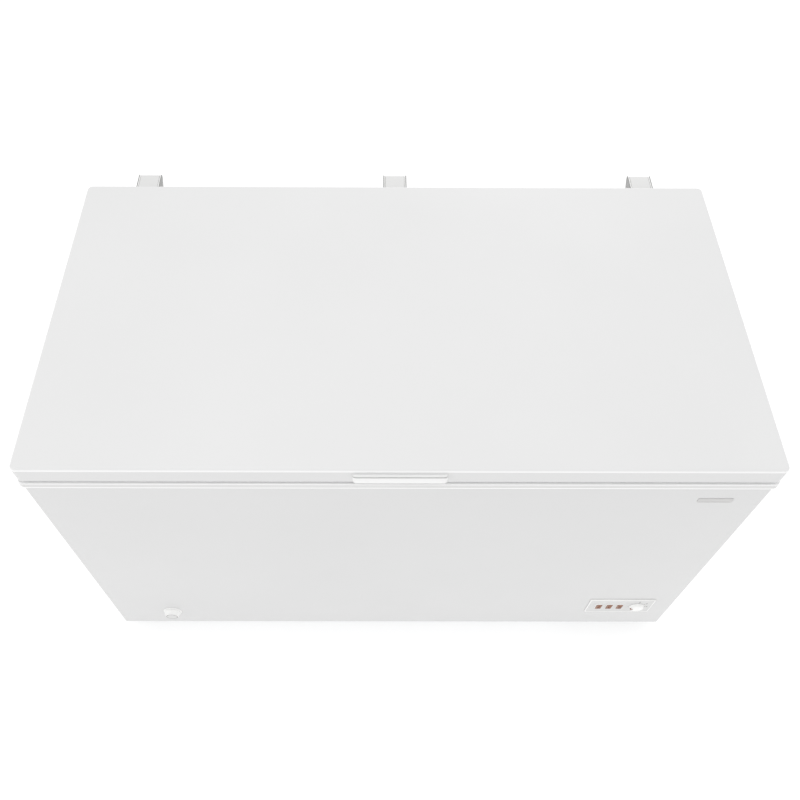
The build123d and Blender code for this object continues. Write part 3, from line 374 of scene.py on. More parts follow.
# White plastic made lighter as painted highlight, on the knob, the drain cap and flange, the lamp rims, the
# panel trim and the hinge edges.
highlight_plastic = moulded("highlight_plastic", (0.97, 0.97, 0.96), 0.3)
dark_print = moulded("dark_print", (0.16, 0.155, 0.15), 0.55)
brown_print = moulded("brown_print", (0.22, 0.085, 0.04), 0.5)
# Dark grey: the hinge cheeks' darker steel, darkened further as painted shade, and painted shade in the
# hinge creases and the drain cap's groove.
grey_and_painted_shade = moulded("grey_and_painted_shade", (0.34, 0.34, 0.335), 0.4)


def paint_cad_nodes():
    """Every CAD node takes the finish of its own material slot, and the largest faces their own, which carry
    painted shade and painted highlights.
    """
    own = {
        "lid_outer_panel": lid_shade_and_highlight_paint,
        "lid_frame": lid_shade_and_highlight_paint,
        "outer_wrapper": shaded_front_paint,
        "top_collar": collar_shade_and_highlight_plastic,
        "control_panel": painted_shade_plastic,
    }
    for part in frame["record"]["subparts"]:
        name = part["node"]
        mesh = nodes[name].data
        mesh.materials.clear()
        mesh.materials.append(own.get(name, finishes[part["material_slot"]]))


# ---- Ways of making meshes ----

def middle_of(node):
    """The middle of a CAD node's box."""
    low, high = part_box(node)
    return (low + high) / 2


def finished(name, made, body, slot, replaced=(), smooth=35, material=None):
    """Puts a mesh, or a list of shells, in the scene: cleaned, shaded, painted and riding on its body."""
    mesh = mesh_of(name, *made) if isinstance(made, list) else made
    shape = bmesh.new()
    shape.from_mesh(mesh)
    bmesh.ops.remove_doubles(shape, verts=shape.verts, dist=0.000005)
    bmesh.ops.recalc_face_normals(shape, faces=shape.faces)
    for edge in shape.edges:
        edge.smooth = len(edge.link_faces) == 2 and edge.calc_face_angle(0) < radians(smooth)
    for face in shape.faces:
        face.smooth = True
    shape.to_mesh(mesh)
    shape.free()
    if not mesh.materials:
        mesh.materials.append(material or finishes[slot])
    piece = bpy.data.objects.new(name, mesh)
    scene.collection.objects.link(piece)
    if body:
        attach(piece, body)
    if replaced:
        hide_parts(*replaced)
    return piece


def shell(rings, close_rings=True, caps=True, close_way=False):
    """Vertices and faces of a skin over rings of points that all have the same count."""
    points = [tuple(point) for ring in rings for point in ring]
    count = len(rings[0])
    faces = []
    spans = len(rings) if close_way else len(rings) - 1
    around = count if close_rings else count - 1
    for row in range(spans):
        following = (row + 1) % len(rings)
        for column in range(around):
            beside = (column + 1) % count
            here, there = row * count, following * count
            faces.append((here + column, here + beside, there + beside, there + column))
    if caps and not close_way:
        faces.append(tuple(range(count))[::-1])
        faces.append(tuple((len(rings) - 1) * count + column for column in range(count)))
    return points, faces


def mesh_of(name, *shells):
    """One mesh from several lots of vertices and faces."""
    points, faces = [], []
    for lot_points, lot_faces in shells:
        start = len(points)
        points += lot_points
        faces += [tuple(index + start for index in face) for face in lot_faces]
    mesh = bpy.data.meshes.new(name)
    mesh.from_pydata(points, [], faces)
    return mesh


def turned(profile, centre, axis="Y", steps=64, ripple=None):
    """A solid of revolution about an axis. Its profile is (distance along, radius), from tip to tip."""
    rings = []
    for along, radius in profile:
        ring = []
        for step in range(steps):
            angle = 2 * pi * step / steps
            reach = radius * (ripple(angle, along, radius) if ripple else 1)
            around = (reach * cos(angle), reach * sin(angle))
            offset = {"X": (along, *around), "Y": (around[0], along, around[1]), "Z": (*around, along)}[axis]
            ring.append(Vector(centre) + Vector(offset))
        rings.append(ring)
    return shell(rings)


def spun(outline, centre, axis="Y", steps=72):
    """A closed ring spun about an axis through centre. Its outline is (distance along, radius) points."""
    rings = []
    for step in range(steps):
        across, up = cos(2 * pi * step / steps), sin(2 * pi * step / steps)
        ring = []
        for along, radius in outline:
            x, y = (along, radius * across) if axis == "X" else (radius * across, along)
            ring.append(centre + Vector((x, y, radius * up)))
        rings.append(ring)
    return shell(rings, close_way=True)


def spread(shape, centre, turns, axis):
    """Copies of one lot of vertices and faces, each turned about the centre and set there."""
    points, faces = shape
    copied = []
    for turn in turns:
        spin = Matrix.Rotation(turn, 3, axis)
        copied.append(([tuple(centre + spin @ Vector(point)) for point in points], faces))
    return copied


def rounded_loop(half_x, half_y, corner, steps=10):
    """Points round a rectangle with rounded corners, about the origin."""
    loop = []
    for quarter in range(4):
        middle = ((half_x - corner) * (1, -1, -1, 1)[quarter], (half_y - corner) * (1, 1, -1, -1)[quarter])
        for step in range(steps + 1):
            angle = (quarter + step / steps) * pi / 2
            loop.append((middle[0] + corner * cos(angle), middle[1] + corner * sin(angle)))
    return loop


def framed(profile, half_x, half_y, corner, centre):
    """A closed moulding that runs round a rounded rectangle. The profile is (inwards, height) points."""
    rings = []
    for inward, level in profile:
        radius = max(corner - inward, 0.0005)
        loop = rounded_loop(half_x - inward, half_y - inward, radius)
        rings.append([(centre[0] + x, centre[1] + y, level) for x, y in loop])
    return shell(rings, close_way=True)


def bar(low, high, edge=0.0008):
    """A box with its four long edges along X rounded off."""
    low, high = Vector(low), Vector(high)
    middle = (low + high) / 2
    half = (high - low) / 2
    rings = []
    for x, inset in ((low.x, edge), (low.x + edge, 0), (high.x - edge, 0), (high.x, edge)):
        loop = rounded_loop(half.y - inset, half.z - inset, edge, 4)
        rings.append([(x, middle.y + y, middle.z + z) for y, z in loop])
    return shell(rings)


def tree_of(name, inputs):
    """A geometry tree with named inputs. Returns the tree, its inputs, its output and a maker of nodes."""
    tree = bpy.data.node_groups.new(name, "GeometryNodeTree")
    tree.interface.new_socket("Geometry", in_out="INPUT", socket_type="NodeSocketGeometry")
    tree.interface.new_socket("Geometry", in_out="OUTPUT", socket_type="NodeSocketGeometry")
    for label, kind in inputs:
        tree.interface.new_socket(label, in_out="INPUT", socket_type="NodeSocket" + kind)
    given = tree.nodes.new("NodeGroupInput").outputs
    result = tree.nodes.new("NodeGroupOutput").inputs["Geometry"]

    def add(kind, links=(), **values):
        node = tree.nodes.new("GeometryNode" + kind)
        for setting, value in values.items():
            setattr(node, setting, value)
        for socket, source in dict(links).items():
            if hasattr(source, "is_linked"):
                tree.links.new(source, node.inputs[socket])
            else:
                node.inputs[socket].default_value = source
        return node.outputs

    return tree, given, result, add


def grown(name, host, tree, values):
    """Runs a geometry tree on a host mesh and returns the plain mesh it makes."""
    source = bpy.data.objects.new(name + "_host", host)
    scene.collection.objects.link(source)
    modifier = source.modifiers.new("grow", "NODES")
    modifier.node_group = tree
    for item in tree.interface.items_tree:
        if item.in_out == "INPUT" and item.name in values:
            modifier[item.identifier] = values[item.name]
    bpy.context.view_layer.update()
    evaluated = source.evaluated_get(bpy.context.evaluated_depsgraph_get())
    mesh = bpy.data.meshes.new_from_object(evaluated)
    mesh.name = name
    bpy.data.objects.remove(source)
    return mesh


def wire_tree():
    """Bends a line of points into a wire and repeats it along one way."""
    sockets = [("Wire Radius", "Float"), ("Bend Radius", "Float"), ("Count", "Int"), ("Step", "Vector")]
    tree, given, result, add = tree_of("repeated_wire", sockets + [("Material", "Material")])
    line = add("MeshToCurve", {"Mesh": given["Geometry"]})["Curve"]
    rounding = {"Curve": line, "Count": 6, "Radius": given["Bend Radius"], "Limit Radius": True}
    bent = add("FilletCurve", rounding, mode="POLY")
    section = add("CurvePrimitiveCircle", {"Resolution": 8, "Radius": given["Wire Radius"]})["Curve"]
    wire = add("CurveToMesh", {"Curve": bent["Curve"], "Profile Curve": section, "Fill Caps": True})["Mesh"]
    row = add("MeshLine", {"Count": given["Count"], "Offset": given["Step"]}, mode="OFFSET")["Mesh"]
    placed = add("InstanceOnPoints", {"Points": row, "Instance": wire})["Instances"]
    real = add("RealizeInstances", {"Geometry": placed})["Geometry"]
    painted = add("SetMaterial", {"Geometry": real, "Material": given["Material"]})["Geometry"]
    tree.links.new(painted, result)
    return tree


def copies_tree():
    """Sets a copy of the first geometry's shape at each point, turned to one side."""
    tree, given, result, add = tree_of(
        "copies_at_points", [("Shape", "Object"), ("Turn", "Rotation"), ("Material", "Material")]
    )
    shape = add("ObjectInfo", {"Object": given["Shape"]})["Geometry"]
    standing = {"Points": given["Geometry"], "Instance": shape, "Rotation": given["Turn"]}
    placed = add("InstanceOnPoints", standing)["Instances"]
    real = add("RealizeInstances", {"Geometry": placed})["Geometry"]
    painted = add("SetMaterial", {"Geometry": real, "Material": given["Material"]})["Geometry"]
    tree.links.new(painted, result)
    return tree


wires, copies = wire_tree(), copies_tree()


def wire(name, points, radius, bend, count=1, step=(0, 0, 0), closed=False, material=None):
    """A bent wire, or a row of them, as a plain mesh."""
    host = bpy.data.meshes.new(name + "_line")
    edges = [(i, i + 1) for i in range(len(points) - 1)]
    if closed:
        edges.append((len(points) - 1, 0))
    host.from_pydata(points, edges, [])
    values = {"Wire Radius": radius, "Bend Radius": bend, "Count": count, "Step": step, "Material": material}
    return grown(name, host, wires, values)


def scattered(name, mesh, places, turn, material):
    """Copies of a small mesh at the given places, all turned the same way."""
    shape = bpy.data.objects.new(name + "_shape", mesh)
    host = bpy.data.meshes.new(name + "_places")
    host.from_pydata(places, [], [])
    result = grown(name, host, copies, {"Shape": shape, "Turn": turn, "Material": material})
    bpy.data.objects.remove(shape)
    return result


# ---- Screws ----

def screw_head(radius=4 * mm, height=2.2 * mm):
    """A pan head with a cross recess, standing on the XY plane."""
    rim = [(radius, 0), (radius, height * 0.35)]
    rim += [(radius * 0.93, height * 0.72), (radius * 0.72, height * 0.94)]
    steps = 32
    rings = []
    angles = [2 * pi * k / steps for k in range(steps)]
    for reach, level in rim:
        rings.append([(reach * cos(angle), reach * sin(angle), level) for angle in angles])
    arm, waist, depth = radius * 0.52, radius * 0.17, height * 0.62
    cross = []
    for angle in angles:
        lobe = max(abs(cos(angle)), abs(sin(angle)))
        reach = arm if lobe > 0.965 else waist * 1.5
        cross.append((reach * cos(angle), reach * sin(angle), height))
    rings.append(cross)
    rings.append([(x * 0.8, y * 0.8, height - depth) for x, y, level in cross])
    return mesh_of("screw_head", shell(rings))


def make_screws():
    """Cross-head screws of the rear cover, the side grille and the three hinges."""
    zinc = finishes["zinc_plated_steel"]
    backwards, rightwards = (-pi / 2, 0, 0), (0, pi / 2, 0)
    cover_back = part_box("rear_cover")[1].y
    grille_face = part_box("side_grille")[1].x
    cover = [(x, cover_back, z) for x in (0.448, 0.672) for z in (0.066, 0.279)]
    grille = [(grille_face, y, z) for y in (0.072, 0.288) for z in (0.082, 0.262)]
    back = scattered("rear_cover_screws", screw_head(), cover, backwards, zinc)
    side = scattered("side_grille_screws", screw_head(), grille, rightwards, zinc)
    finished("rear_cover_screws", back, "cabinet", "zinc_plated_steel", ["cover_screws"])
    finished("side_grille_screws", side, "cabinet", "zinc_plated_steel")
    hinges = [middle_of("hinge_base_" + side).x for side in hinge_sides]
    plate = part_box("hinge_base_screws")[1].y - 2.4 * mm
    base = [(x + dx, plate, z) for x in hinges for dx in (-0.015, 0.015) for z in (0.652, 0.674)]
    mesh = scattered("hinge_base_heads", screw_head(), base, backwards, zinc)
    finished("hinge_base_heads", mesh, "cabinet", "zinc_plated_steel", ["hinge_base_screws"])
    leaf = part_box("hinge_lid_screws")[1].y - 2.4 * mm
    leaf_z = middle_of("hinge_lid_screws").z
    lid = [(x + dx, leaf, leaf_z) for x in hinges for dx in (-0.013, 0.013)]
    mesh = scattered("hinge_leaf_heads", screw_head(), lid, backwards, zinc)
    finished("hinge_leaf_heads", mesh, "lid", "zinc_plated_steel", ["hinge_lid_screws"])


hinge_sides = ["left", "middle", "right"]


# ---- Lid ----

def make_handle():
    """Hooked grip: a thin lip over a groove, a full bar in front and a hollow behind it for the fingers."""
    low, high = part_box("lid_handle")
    back, front = high.y, low.y
    top, bottom = high.z, low.z
    lip, groove, hollow = 5 * mm, 3.6 * mm, 7.5 * mm
    bar_round = 3.4 * mm
    section = [(back, bottom), (back, top), (back - lip + 0.7 * mm, top), (back - lip, top - 0.5 * mm)]
    section += [(back - lip, top - 1.1 * mm), (back - lip + 0.5 * mm, top - 1.5 * mm)]
    section += [(back - 3.4 * mm, top - 2.1 * mm), (back - 3 * mm, top - 2.8 * mm)]
    section += [(back - 3.6 * mm, top - groove)]
    section += [(front + 4.5 * mm, top - groove), (front + 4.5 * mm, top - 1.1 * mm)]
    for step in range(9):
        angle = pi / 2 + step * pi / 16
        reach = bar_round * (1 + cos(angle))
        section.append((front + reach, top - 0.5 * mm - bar_round * (1 - sin(angle))))
    section += [(front, top - 11.4 * mm), (front + 0.6 * mm, top - 12 * mm)]
    section += [(front + 1.9 * mm, top - 12 * mm)]
    section += [(front + 2.5 * mm, top - 11.4 * mm), (front + 2.5 * mm, top - hollow - 1.2 * mm)]
    section += [(front + 3.7 * mm, top - hollow), (back - 3.2 * mm, top - hollow)]
    section += [(back - 2 * mm, top - hollow - 1.2 * mm), (back - 2 * mm, bottom + 0.4 * mm)]
    section += [(back - 1.5 * mm, bottom)]
    rings = []
    ends = [(0, 0.35), (1.2 * mm, 0.72), (3 * mm, 0.9), (6 * mm, 1)]
    stations = [(low.x + x, share) for x, share in ends] + [(high.x - x, share) for x, share in ends[::-1]]
    for x, share in stations:
        rings.append([(x, back + (y - back) * share, z) for y, z in section])
    # The grip is painted lighter than the lid as painted highlight.
    finished("lid_grip", [shell(rings)], "lid", "white_plastic", ["lid_handle"], 40, handle_highlight_plastic)


def make_gasket():
    """Magnetic gasket: a dart in the lid, a folded bellows and a flat face that seals on the collar."""
    low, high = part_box("lid_gasket")
    half_x, half_y = (high.x - low.x) / 2, (high.y - low.y) / 2
    width, height = 18 * mm, high.z - low.z
    outline = [(0.18, 1), (0.82, 1), (0.82, 0.86), (0.95, 0.78)]
    outline += [(1, 0.68), (0.93, 0.58), (0.80, 0.52), (0.93, 0.44)]
    outline += [(1, 0.34), (1, 0.14), (0.95, 0.04), (0.86, 0), (0.14, 0), (0.05, 0.04), (0, 0.14), (0, 0.34)]
    outline += [(0.07, 0.44), (0.20, 0.52), (0.07, 0.58), (0, 0.68), (0.05, 0.78), (0.18, 0.86)]
    profile = [(width * across, low.z + height * up) for across, up in outline]
    skin = [framed(profile, half_x, half_y, 6 * mm, middle_of("lid_gasket"))]
    finished("gasket", skin, "lid", "gasket_rubber", ["lid_gasket"], 50)


def make_hinge_arms():
    """Pressed web over each hinge, its rolled edges painted light as highlight and its creases painted dark
    as shade, cheeks down to the pin painted dark grey as darker steel and painted shade, a leaf on the lid
    and the cam plate.
    """
    lid_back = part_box("lid_outer_panel")[1].y
    pivot = middle_of("hinge_pins")
    for side in hinge_sides:
        low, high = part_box("hinge_arm_" + side)
        middle = (low.x + high.x) / 2
        cheek = 2.5 * mm
        web_top, web_back = 0.838, high.y
        roll = 3 * mm
        section = [(lid_back, web_top), (web_back - roll, web_top)]
        for step in range(1, 7):
            angle = step * pi / 12
            section.append((web_back - roll + roll * sin(angle), web_top - roll + roll * cos(angle)))
        section.append((web_back, web_top - 6 * mm))
        section.append((web_back - 2 * mm, web_top - 6 * mm))
        for step in range(6, -1, -1):
            angle = step * pi / 12
            inner = roll - 2 * mm
            section.append((web_back - roll + inner * sin(angle), web_top - roll + inner * cos(angle)))
        section.append((lid_back, web_top - 2 * mm))
        rolled_edge, crease = 1.8 * mm, 1 * mm
        inner, outer = low.x + cheek, high.x - cheek
        web_start, web_end = inner + rolled_edge + crease, outer - rolled_edge - crease
        web = shell([[(x, y, z) for y, z in section] for x in (web_start, web_end)])
        strips = {"trim": ((inner, inner + rolled_edge), (outer - rolled_edge, outer))}
        strips["crease"] = ((inner + rolled_edge, web_start), (web_end, outer - rolled_edge))
        for kind, spans in strips.items():
            sink = 0.5 * mm if kind == "crease" else 0
            edges = [shell([[(x, y, z - sink) for y, z in section] for x in span]) for span in spans]
            # Painted highlight on the rolled edges, painted shade in the creases.
            paint = highlight_plastic if kind == "trim" else grey_and_painted_shade
            finished("hinge_" + kind + "_" + side, edges, "lid", "hinge_steel", material=paint)
        leaf_low = (middle - 23 * mm, lid_back, lid_low.z + 0.5 * mm)
        leaf = bar(leaf_low, (middle + 23 * mm, lid_back + 2 * mm, web_top - 2.5 * mm), 0.6 * mm)
        finished("hinge_web_" + side, [web, leaf], "lid", "hinge_steel", ["hinge_arm_" + side])
        outline = [(lid_back + 1 * mm, web_top), (web_back, web_top), (web_back, web_top - 6 * mm)]
        hub = 12.5 * mm
        for step in range(13):
            angle = radians(20) - step * radians(220) / 12
            outline.append((pivot.y + hub * cos(angle), pivot.z + hub * sin(angle)))
        outline.append((lid_back + 1 * mm, web_top - 16 * mm))
        plates = []
        for start in (low.x, high.x - cheek):
            soft = 0.5 * mm
            centre_y = sum(y for y, z in outline) / len(outline)
            centre_z = sum(z for y, z in outline) / len(outline)
            rings = []
            end = start + cheek
            for x, share in ((start, 0.985), (start + soft, 1), (end - soft, 1), (end, 0.985)):
                ring = []
                for y, z in outline:
                    ring.append((x, centre_y + (y - centre_y) * share, centre_z + (z - centre_z) * share))
                rings.append(ring)
            plates.append(shell(rings))
        # The cheeks are painted dark grey: darker steel, darkened further as painted shade.
        finished("hinge_cheeks_" + side, plates, "lid", "zinc_plated_steel", material=grey_and_painted_shade)
        cam = []
        for degrees in range(-15, 96, 5):
            reach = 19 * mm - 0.1 * mm * min(max(degrees, 0), 80)
            cam.append((pivot.y + reach * sin(radians(degrees)), pivot.z - reach * cos(radians(degrees))))
        cam += [(pivot.y + 9 * mm, web_top - 2 * mm), (pivot.y - 9 * mm, web_top - 2 * mm)]
        rings = [[(x, y, z) for y, z in cam] for x in (middle - 4 * mm, middle + 4 * mm)]
        finished("hinge_cam_" + side, [shell(rings)], "lid", "zinc_plated_steel")


def make_springs():
    """The three springs, closed at their ends. In the freezer they stretch as the plungers rise; here they
    are one fixed mesh on no body.
    """
    low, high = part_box("hinge_springs")
    y = middle_of("hinge_pins").y
    radius, wire_radius, turns, steps, around = 8.4 * mm, 1.3 * mm, 8, 28, 8
    length = high.z - low.z - 2 * wire_radius
    coils = []
    for side in hinge_sides:
        x = middle_of("hinge_base_" + side).x
        rings = []
        for step in range(turns * steps + 1):
            share = step / (turns * steps)
            eased = share - 0.045 * sin(2 * pi * share)
            angle = 2 * pi * turns * share
            outward = Vector((cos(angle), sin(angle), 0))
            centre = Vector((x, y, low.z + wire_radius + length * eased)) + radius * outward
            ring = []
            for k in range(around):
                turn = 2 * pi * k / around
                ring.append(centre + wire_radius * (cos(turn) * outward + sin(turn) * Vector((0, 0, 1))))
            rings.append(ring)
        coils.append(shell(rings))
    piece = finished("balance_springs", coils, None, "zinc_plated_steel", ["hinge_springs"], 60)
    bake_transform(piece)


# ---- Controls and drain ----

def make_knob():
    """Low round knob with a ribbed flank, a shallow dished face and a brown pointer on its left."""
    low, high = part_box("thermostat_knob")
    centre = Vector(((low.x + high.x) / 2, 0, (low.z + high.z) / 2))
    radius = (high.x - low.x) / 2
    front, back = low.y, high.y

    def ribs(angle, along, reach):
        flank = front + 1.2 * mm < along < back - 0.5 * mm
        return 1 - (0.006 * (1 + cos(36 * angle)) if flank and reach > radius * 0.9 else 0)

    profile = [(front + 1.2 * mm, 0.0002), (front + 1.2 * mm, radius * 0.45)]
    profile += [(front + 0.9 * mm, radius * 0.62)]
    profile += [(front + 0.15 * mm, radius * 0.70), (front, radius * 0.75)]
    profile += [(front + 0.4 * mm, radius * 0.81)]
    profile += [(front + 1.3 * mm, radius * 0.86), (front + 3 * mm, radius * 0.905)]
    profile += [(back - 1.8 * mm, radius * 0.97)]
    profile += [(back - 0.9 * mm, radius), (back, radius), (back, radius * 0.5), (back, 0.0002)]
    skin = [turned(profile, centre, "Y", 144, ribs)]
    # The knob is made in the lighter plastic, as painted highlight.
    finished("control_knob", skin, "knob", "white_plastic", ["thermostat_knob"], 40, highlight_plastic)
    tip, root = centre.x - radius * 0.97, centre.x - radius * 0.58
    half = 2.2 * mm
    rod = bar((tip, front, centre.z - half), (root, front + 2.4 * mm, centre.z + half), 0.5 * mm)
    finished("knob_pointer", [rod], "knob", "amber_lens", material=brown_print)


def make_scale():
    """Printed marks round the knob: strokes that grow thicker, and plain digits."""
    low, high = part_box("thermostat_knob")
    centre = ((low.x + high.x) / 2, (low.z + high.z) / 2)
    radius = (high.x - low.x) / 2
    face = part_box("control_panel")[0].y
    strokes = []
    marks = 7
    for mark in range(marks):
        angle = radians(180 - 280 * mark / (marks - 1))
        along = Vector((cos(angle), sin(angle)))
        across = Vector((-along.y, along.x))
        start, end = radius + 2.2 * mm, radius + 5.2 * mm
        half = (0.35 + 0.11 * mark) * mm
        corners = ((start, -1), (end, -1), (end, 1), (start, 1))
        flat = [Vector(centre) + along * reach + across * half * way for reach, way in corners]
        rings = [[(p.x, y, p.y) for p in flat] for y in (face + 0.05 * mm, face - 0.12 * mm)]
        strokes.append(shell(rings))
    finished("scale_strokes", strokes, "cabinet", "dark_plastic", material=dark_print)
    for mark in range(2, marks):
        angle = radians(180 - 280 * mark / (marks - 1))
        reach = radius + 9.2 * mm
        text = bpy.data.curves.new("digit", "FONT")
        text.body = str(mark + 1)
        text.size = 7.5 * mm
        text.extrude = 0.08 * mm
        text.align_x = "CENTER"
        text.align_y = "CENTER"
        text.resolution_u = 4
        written = bpy.data.objects.new("digit_curve", text)
        scene.collection.objects.link(written)
        bpy.context.view_layer.update()
        mesh = bpy.data.meshes.new_from_object(written.evaluated_get(bpy.context.evaluated_depsgraph_get()))
        bpy.data.objects.remove(written)
        stand = Matrix.Rotation(pi / 2, 4, "X")
        x, z = centre[0] + reach * cos(angle), centre[1] + reach * sin(angle)
        place = Matrix.Translation((x, face - 0.04 * mm, z))
        mesh.transform(place @ stand)
        finished("scale_digit_" + str(mark + 1), mesh, "cabinet", "dark_plastic", material=dark_print)


def make_lamps():
    """Tinted lenses with moulded cross ribs, each in a white rim painted light as highlight, and the trim
    round the panel, a light line painted as highlight.
    """
    for side in hinge_sides:
        low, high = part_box("lamp_" + side)
        middle = (low + high) / 2
        half_x, half_z = (high.x - low.x) / 2 + 1.1 * mm, (high.z - low.z) / 2 + 1.1 * mm
        front = low.y
        levels = [(high.y, 0), (front + 1.8 * mm, 0), (front + 0.8 * mm, 0.25 * mm)]
        levels += [(front + 0.2 * mm, 0.9 * mm), (front, 1.8 * mm)]
        rings = []
        for y, inset in levels:
            loop = rounded_loop(half_x - inset, half_z - inset, 1.2 * mm, 4)
            rings.append([(middle.x + x, y, middle.z + z) for x, z in loop])
        body = shell(rings)
        ribs = []
        for row in range(-3, 4):
            z = middle.z + row * 2.3 * mm
            start = (low.x + 2.2 * mm, front - 0.35 * mm, z - 0.5 * mm)
            end = (high.x - 2.2 * mm, front + 0.4 * mm, z + 0.5 * mm)
            ribs.append(bar(start, end, 0.3 * mm))
        finished("lens_" + side, [body, *ribs], "cabinet", "amber_lens", ["lamp_" + side], 40)
    frames = []
    for side in hinge_sides:
        low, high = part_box("lamp_" + side)
        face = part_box("control_panel")[0].y
        reach = 2 * mm
        middle = (low + high) / 2
        half_x, half_z = (high.x - low.x) / 2 + reach, (high.z - low.z) / 2 + reach
        profile = [(0, face), (0, face - 1.1 * mm), (0.3 * mm, face - 1.6 * mm)]
        profile += [(0.8 * mm, face - 1.4 * mm), (0.9 * mm, face - 0.6 * mm), (0.9 * mm, face)]
        rings = []
        for inward, level in profile:
            loop = rounded_loop(half_x - inward, half_z - inward, max(2.6 * mm - inward, 0.5 * mm), 6)
            rings.append([(middle.x + x, level, middle.z + z) for x, z in loop])
        frames.append(shell(rings, close_way=True))
    low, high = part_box("control_panel")
    middle, front = (low + high) / 2, low.y
    half_x, half_z = (high.x - low.x) / 2, (high.z - low.z) / 2
    rings = []
    for inward, level in ((-1.2, 2.6), (-1, 0.2), (-0.3, -0.3), (0.8, -0.3), (1.2, 0.1), (1.2, 1)):
        loop = rounded_loop(half_x - inward * mm, half_z - inward * mm, 3 * mm, 6)
        rings.append([(middle.x + x, front + level * mm, middle.z + z) for x, z in loop])
    trim = [shell(rings, close_way=True)]
    # The panel trim and the lamp rims are painted light, as painted highlight.
    finished("panel_trim", trim, "cabinet", "white_plastic", smooth=40, material=highlight_plastic)
    finished("lamp_bezels", frames, "cabinet", "white_plastic", ["lamp_frames"], 40, highlight_plastic)


def make_drain_cap():
    """Screw cap: a tapered skirt with grip ribs, a dished end in a groove, and the flange behind it. The
    skirt and flange are painted light as highlight, the end darker as shade and the groove dark as shade.
    """
    low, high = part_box("drain_cap")
    centre = Vector(((low.x + high.x) / 2, 0, (low.z + high.z) / 2))
    base = (high.x - low.x) / 2
    tip = base - 5 * mm
    front, back = low.y, high.y

    def ribs(angle, along, reach):
        flank = front + 2.2 * mm < along < back - 2.4 * mm and reach > tip * 0.9
        return 1 - (0.03 * max(0, cos(18 * angle)) if flank else 0)

    profile = [(front + 0.6 * mm, 0.0002), (front + 0.5 * mm, tip * 0.4), (front + 0.1 * mm, tip * 0.72)]
    profile += [(front, tip * 0.84), (front + 0.5 * mm, tip * 0.93)]
    profile += [(front + 1.6 * mm, tip * 0.985), (front + 2.4 * mm, tip)]
    profile += [(front + (back - front) * share, tip + (base - tip) * share) for share in (0.35, 0.55, 0.78)]
    profile += [(back - 2 * mm, base - 0.3 * mm), (back - 0.8 * mm, base)]
    profile += [(back, base - 0.4 * mm), (back, 10.6 * mm)]
    profile += [(front + 4 * mm, 10.4 * mm), (front + 4 * mm, 0.0002)]
    skin = [turned(profile, centre, "Y", 108, ribs)]
    # The skirt is painted light as highlight.
    finished("drain_screw_cap", skin, "drain_cap", "white_plastic", ["drain_cap"], 40, highlight_plastic)
    face = [(front + 0.55 * mm, 0.0002), (front + 0.45 * mm, tip * 0.4)]
    face += [(front, tip * 0.72), (front, tip * 0.80)]
    face += [(front + 1 * mm, tip * 0.80), (front + 1 * mm, 0.0002)]
    skin = [turned(face, centre, "Y", 72)]
    # The dished end is painted darker as shade.
    finished("drain_cap_face", skin, "drain_cap", "white_plastic", smooth=40, material=painted_shade_plastic)
    rim = [(front, tip * 0.80), (front - 0.05 * mm, tip * 0.82)]
    rim += [(front, tip * 0.90), (front + 0.9 * mm, tip * 0.90), (front + 0.9 * mm, tip * 0.80)]
    skin = [spun(rim, centre)]
    # The groove is painted dark as shade.
    finished("drain_cap_groove", skin, "drain_cap", "white_plastic", smooth=40, material=grey_and_painted_shade)
    body_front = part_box("outer_wrapper")[0].y
    flange = [(body_front + 0.3 * mm, base + 2 * mm), (body_front - 0.4 * mm, base + 2 * mm)]
    flange += [(back + 0.6 * mm, base - 0.2 * mm), (back + 0.3 * mm, base - 1.2 * mm)]
    flange += [(back + 0.3 * mm, 10.8 * mm), (body_front + 0.3 * mm, 10.8 * mm)]
    skin = [spun(flange, centre)]
    # The flange is painted light as highlight.
    finished("drain_flange", skin, "cabinet", "white_plastic", smooth=40, material=highlight_plastic)


def make_badge():
    """Plain nameplate with a raised border and nothing written on it."""
    low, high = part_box("badge")
    middle = middle_of("badge")
    half_x, half_z = (high.x - low.x) / 2, (high.z - low.z) / 2
    rings = []
    for inset, depth in ((0, 0), (0, 0.8), (0.5, 1.1), (1.1, 1.1), (1.5, 0.7), (2.0, 0.7)):
        loop = rounded_loop(half_x - inset * mm, half_z - inset * mm, (3.2 - inset) * mm, 8)
        rings.append([(middle.x + x, high.y - depth * mm, middle.z + z) for x, z in loop])
    finished("nameplate", [shell(rings)], "cabinet", "badge_metal", ["badge"], 40)


# ---- Basket ----

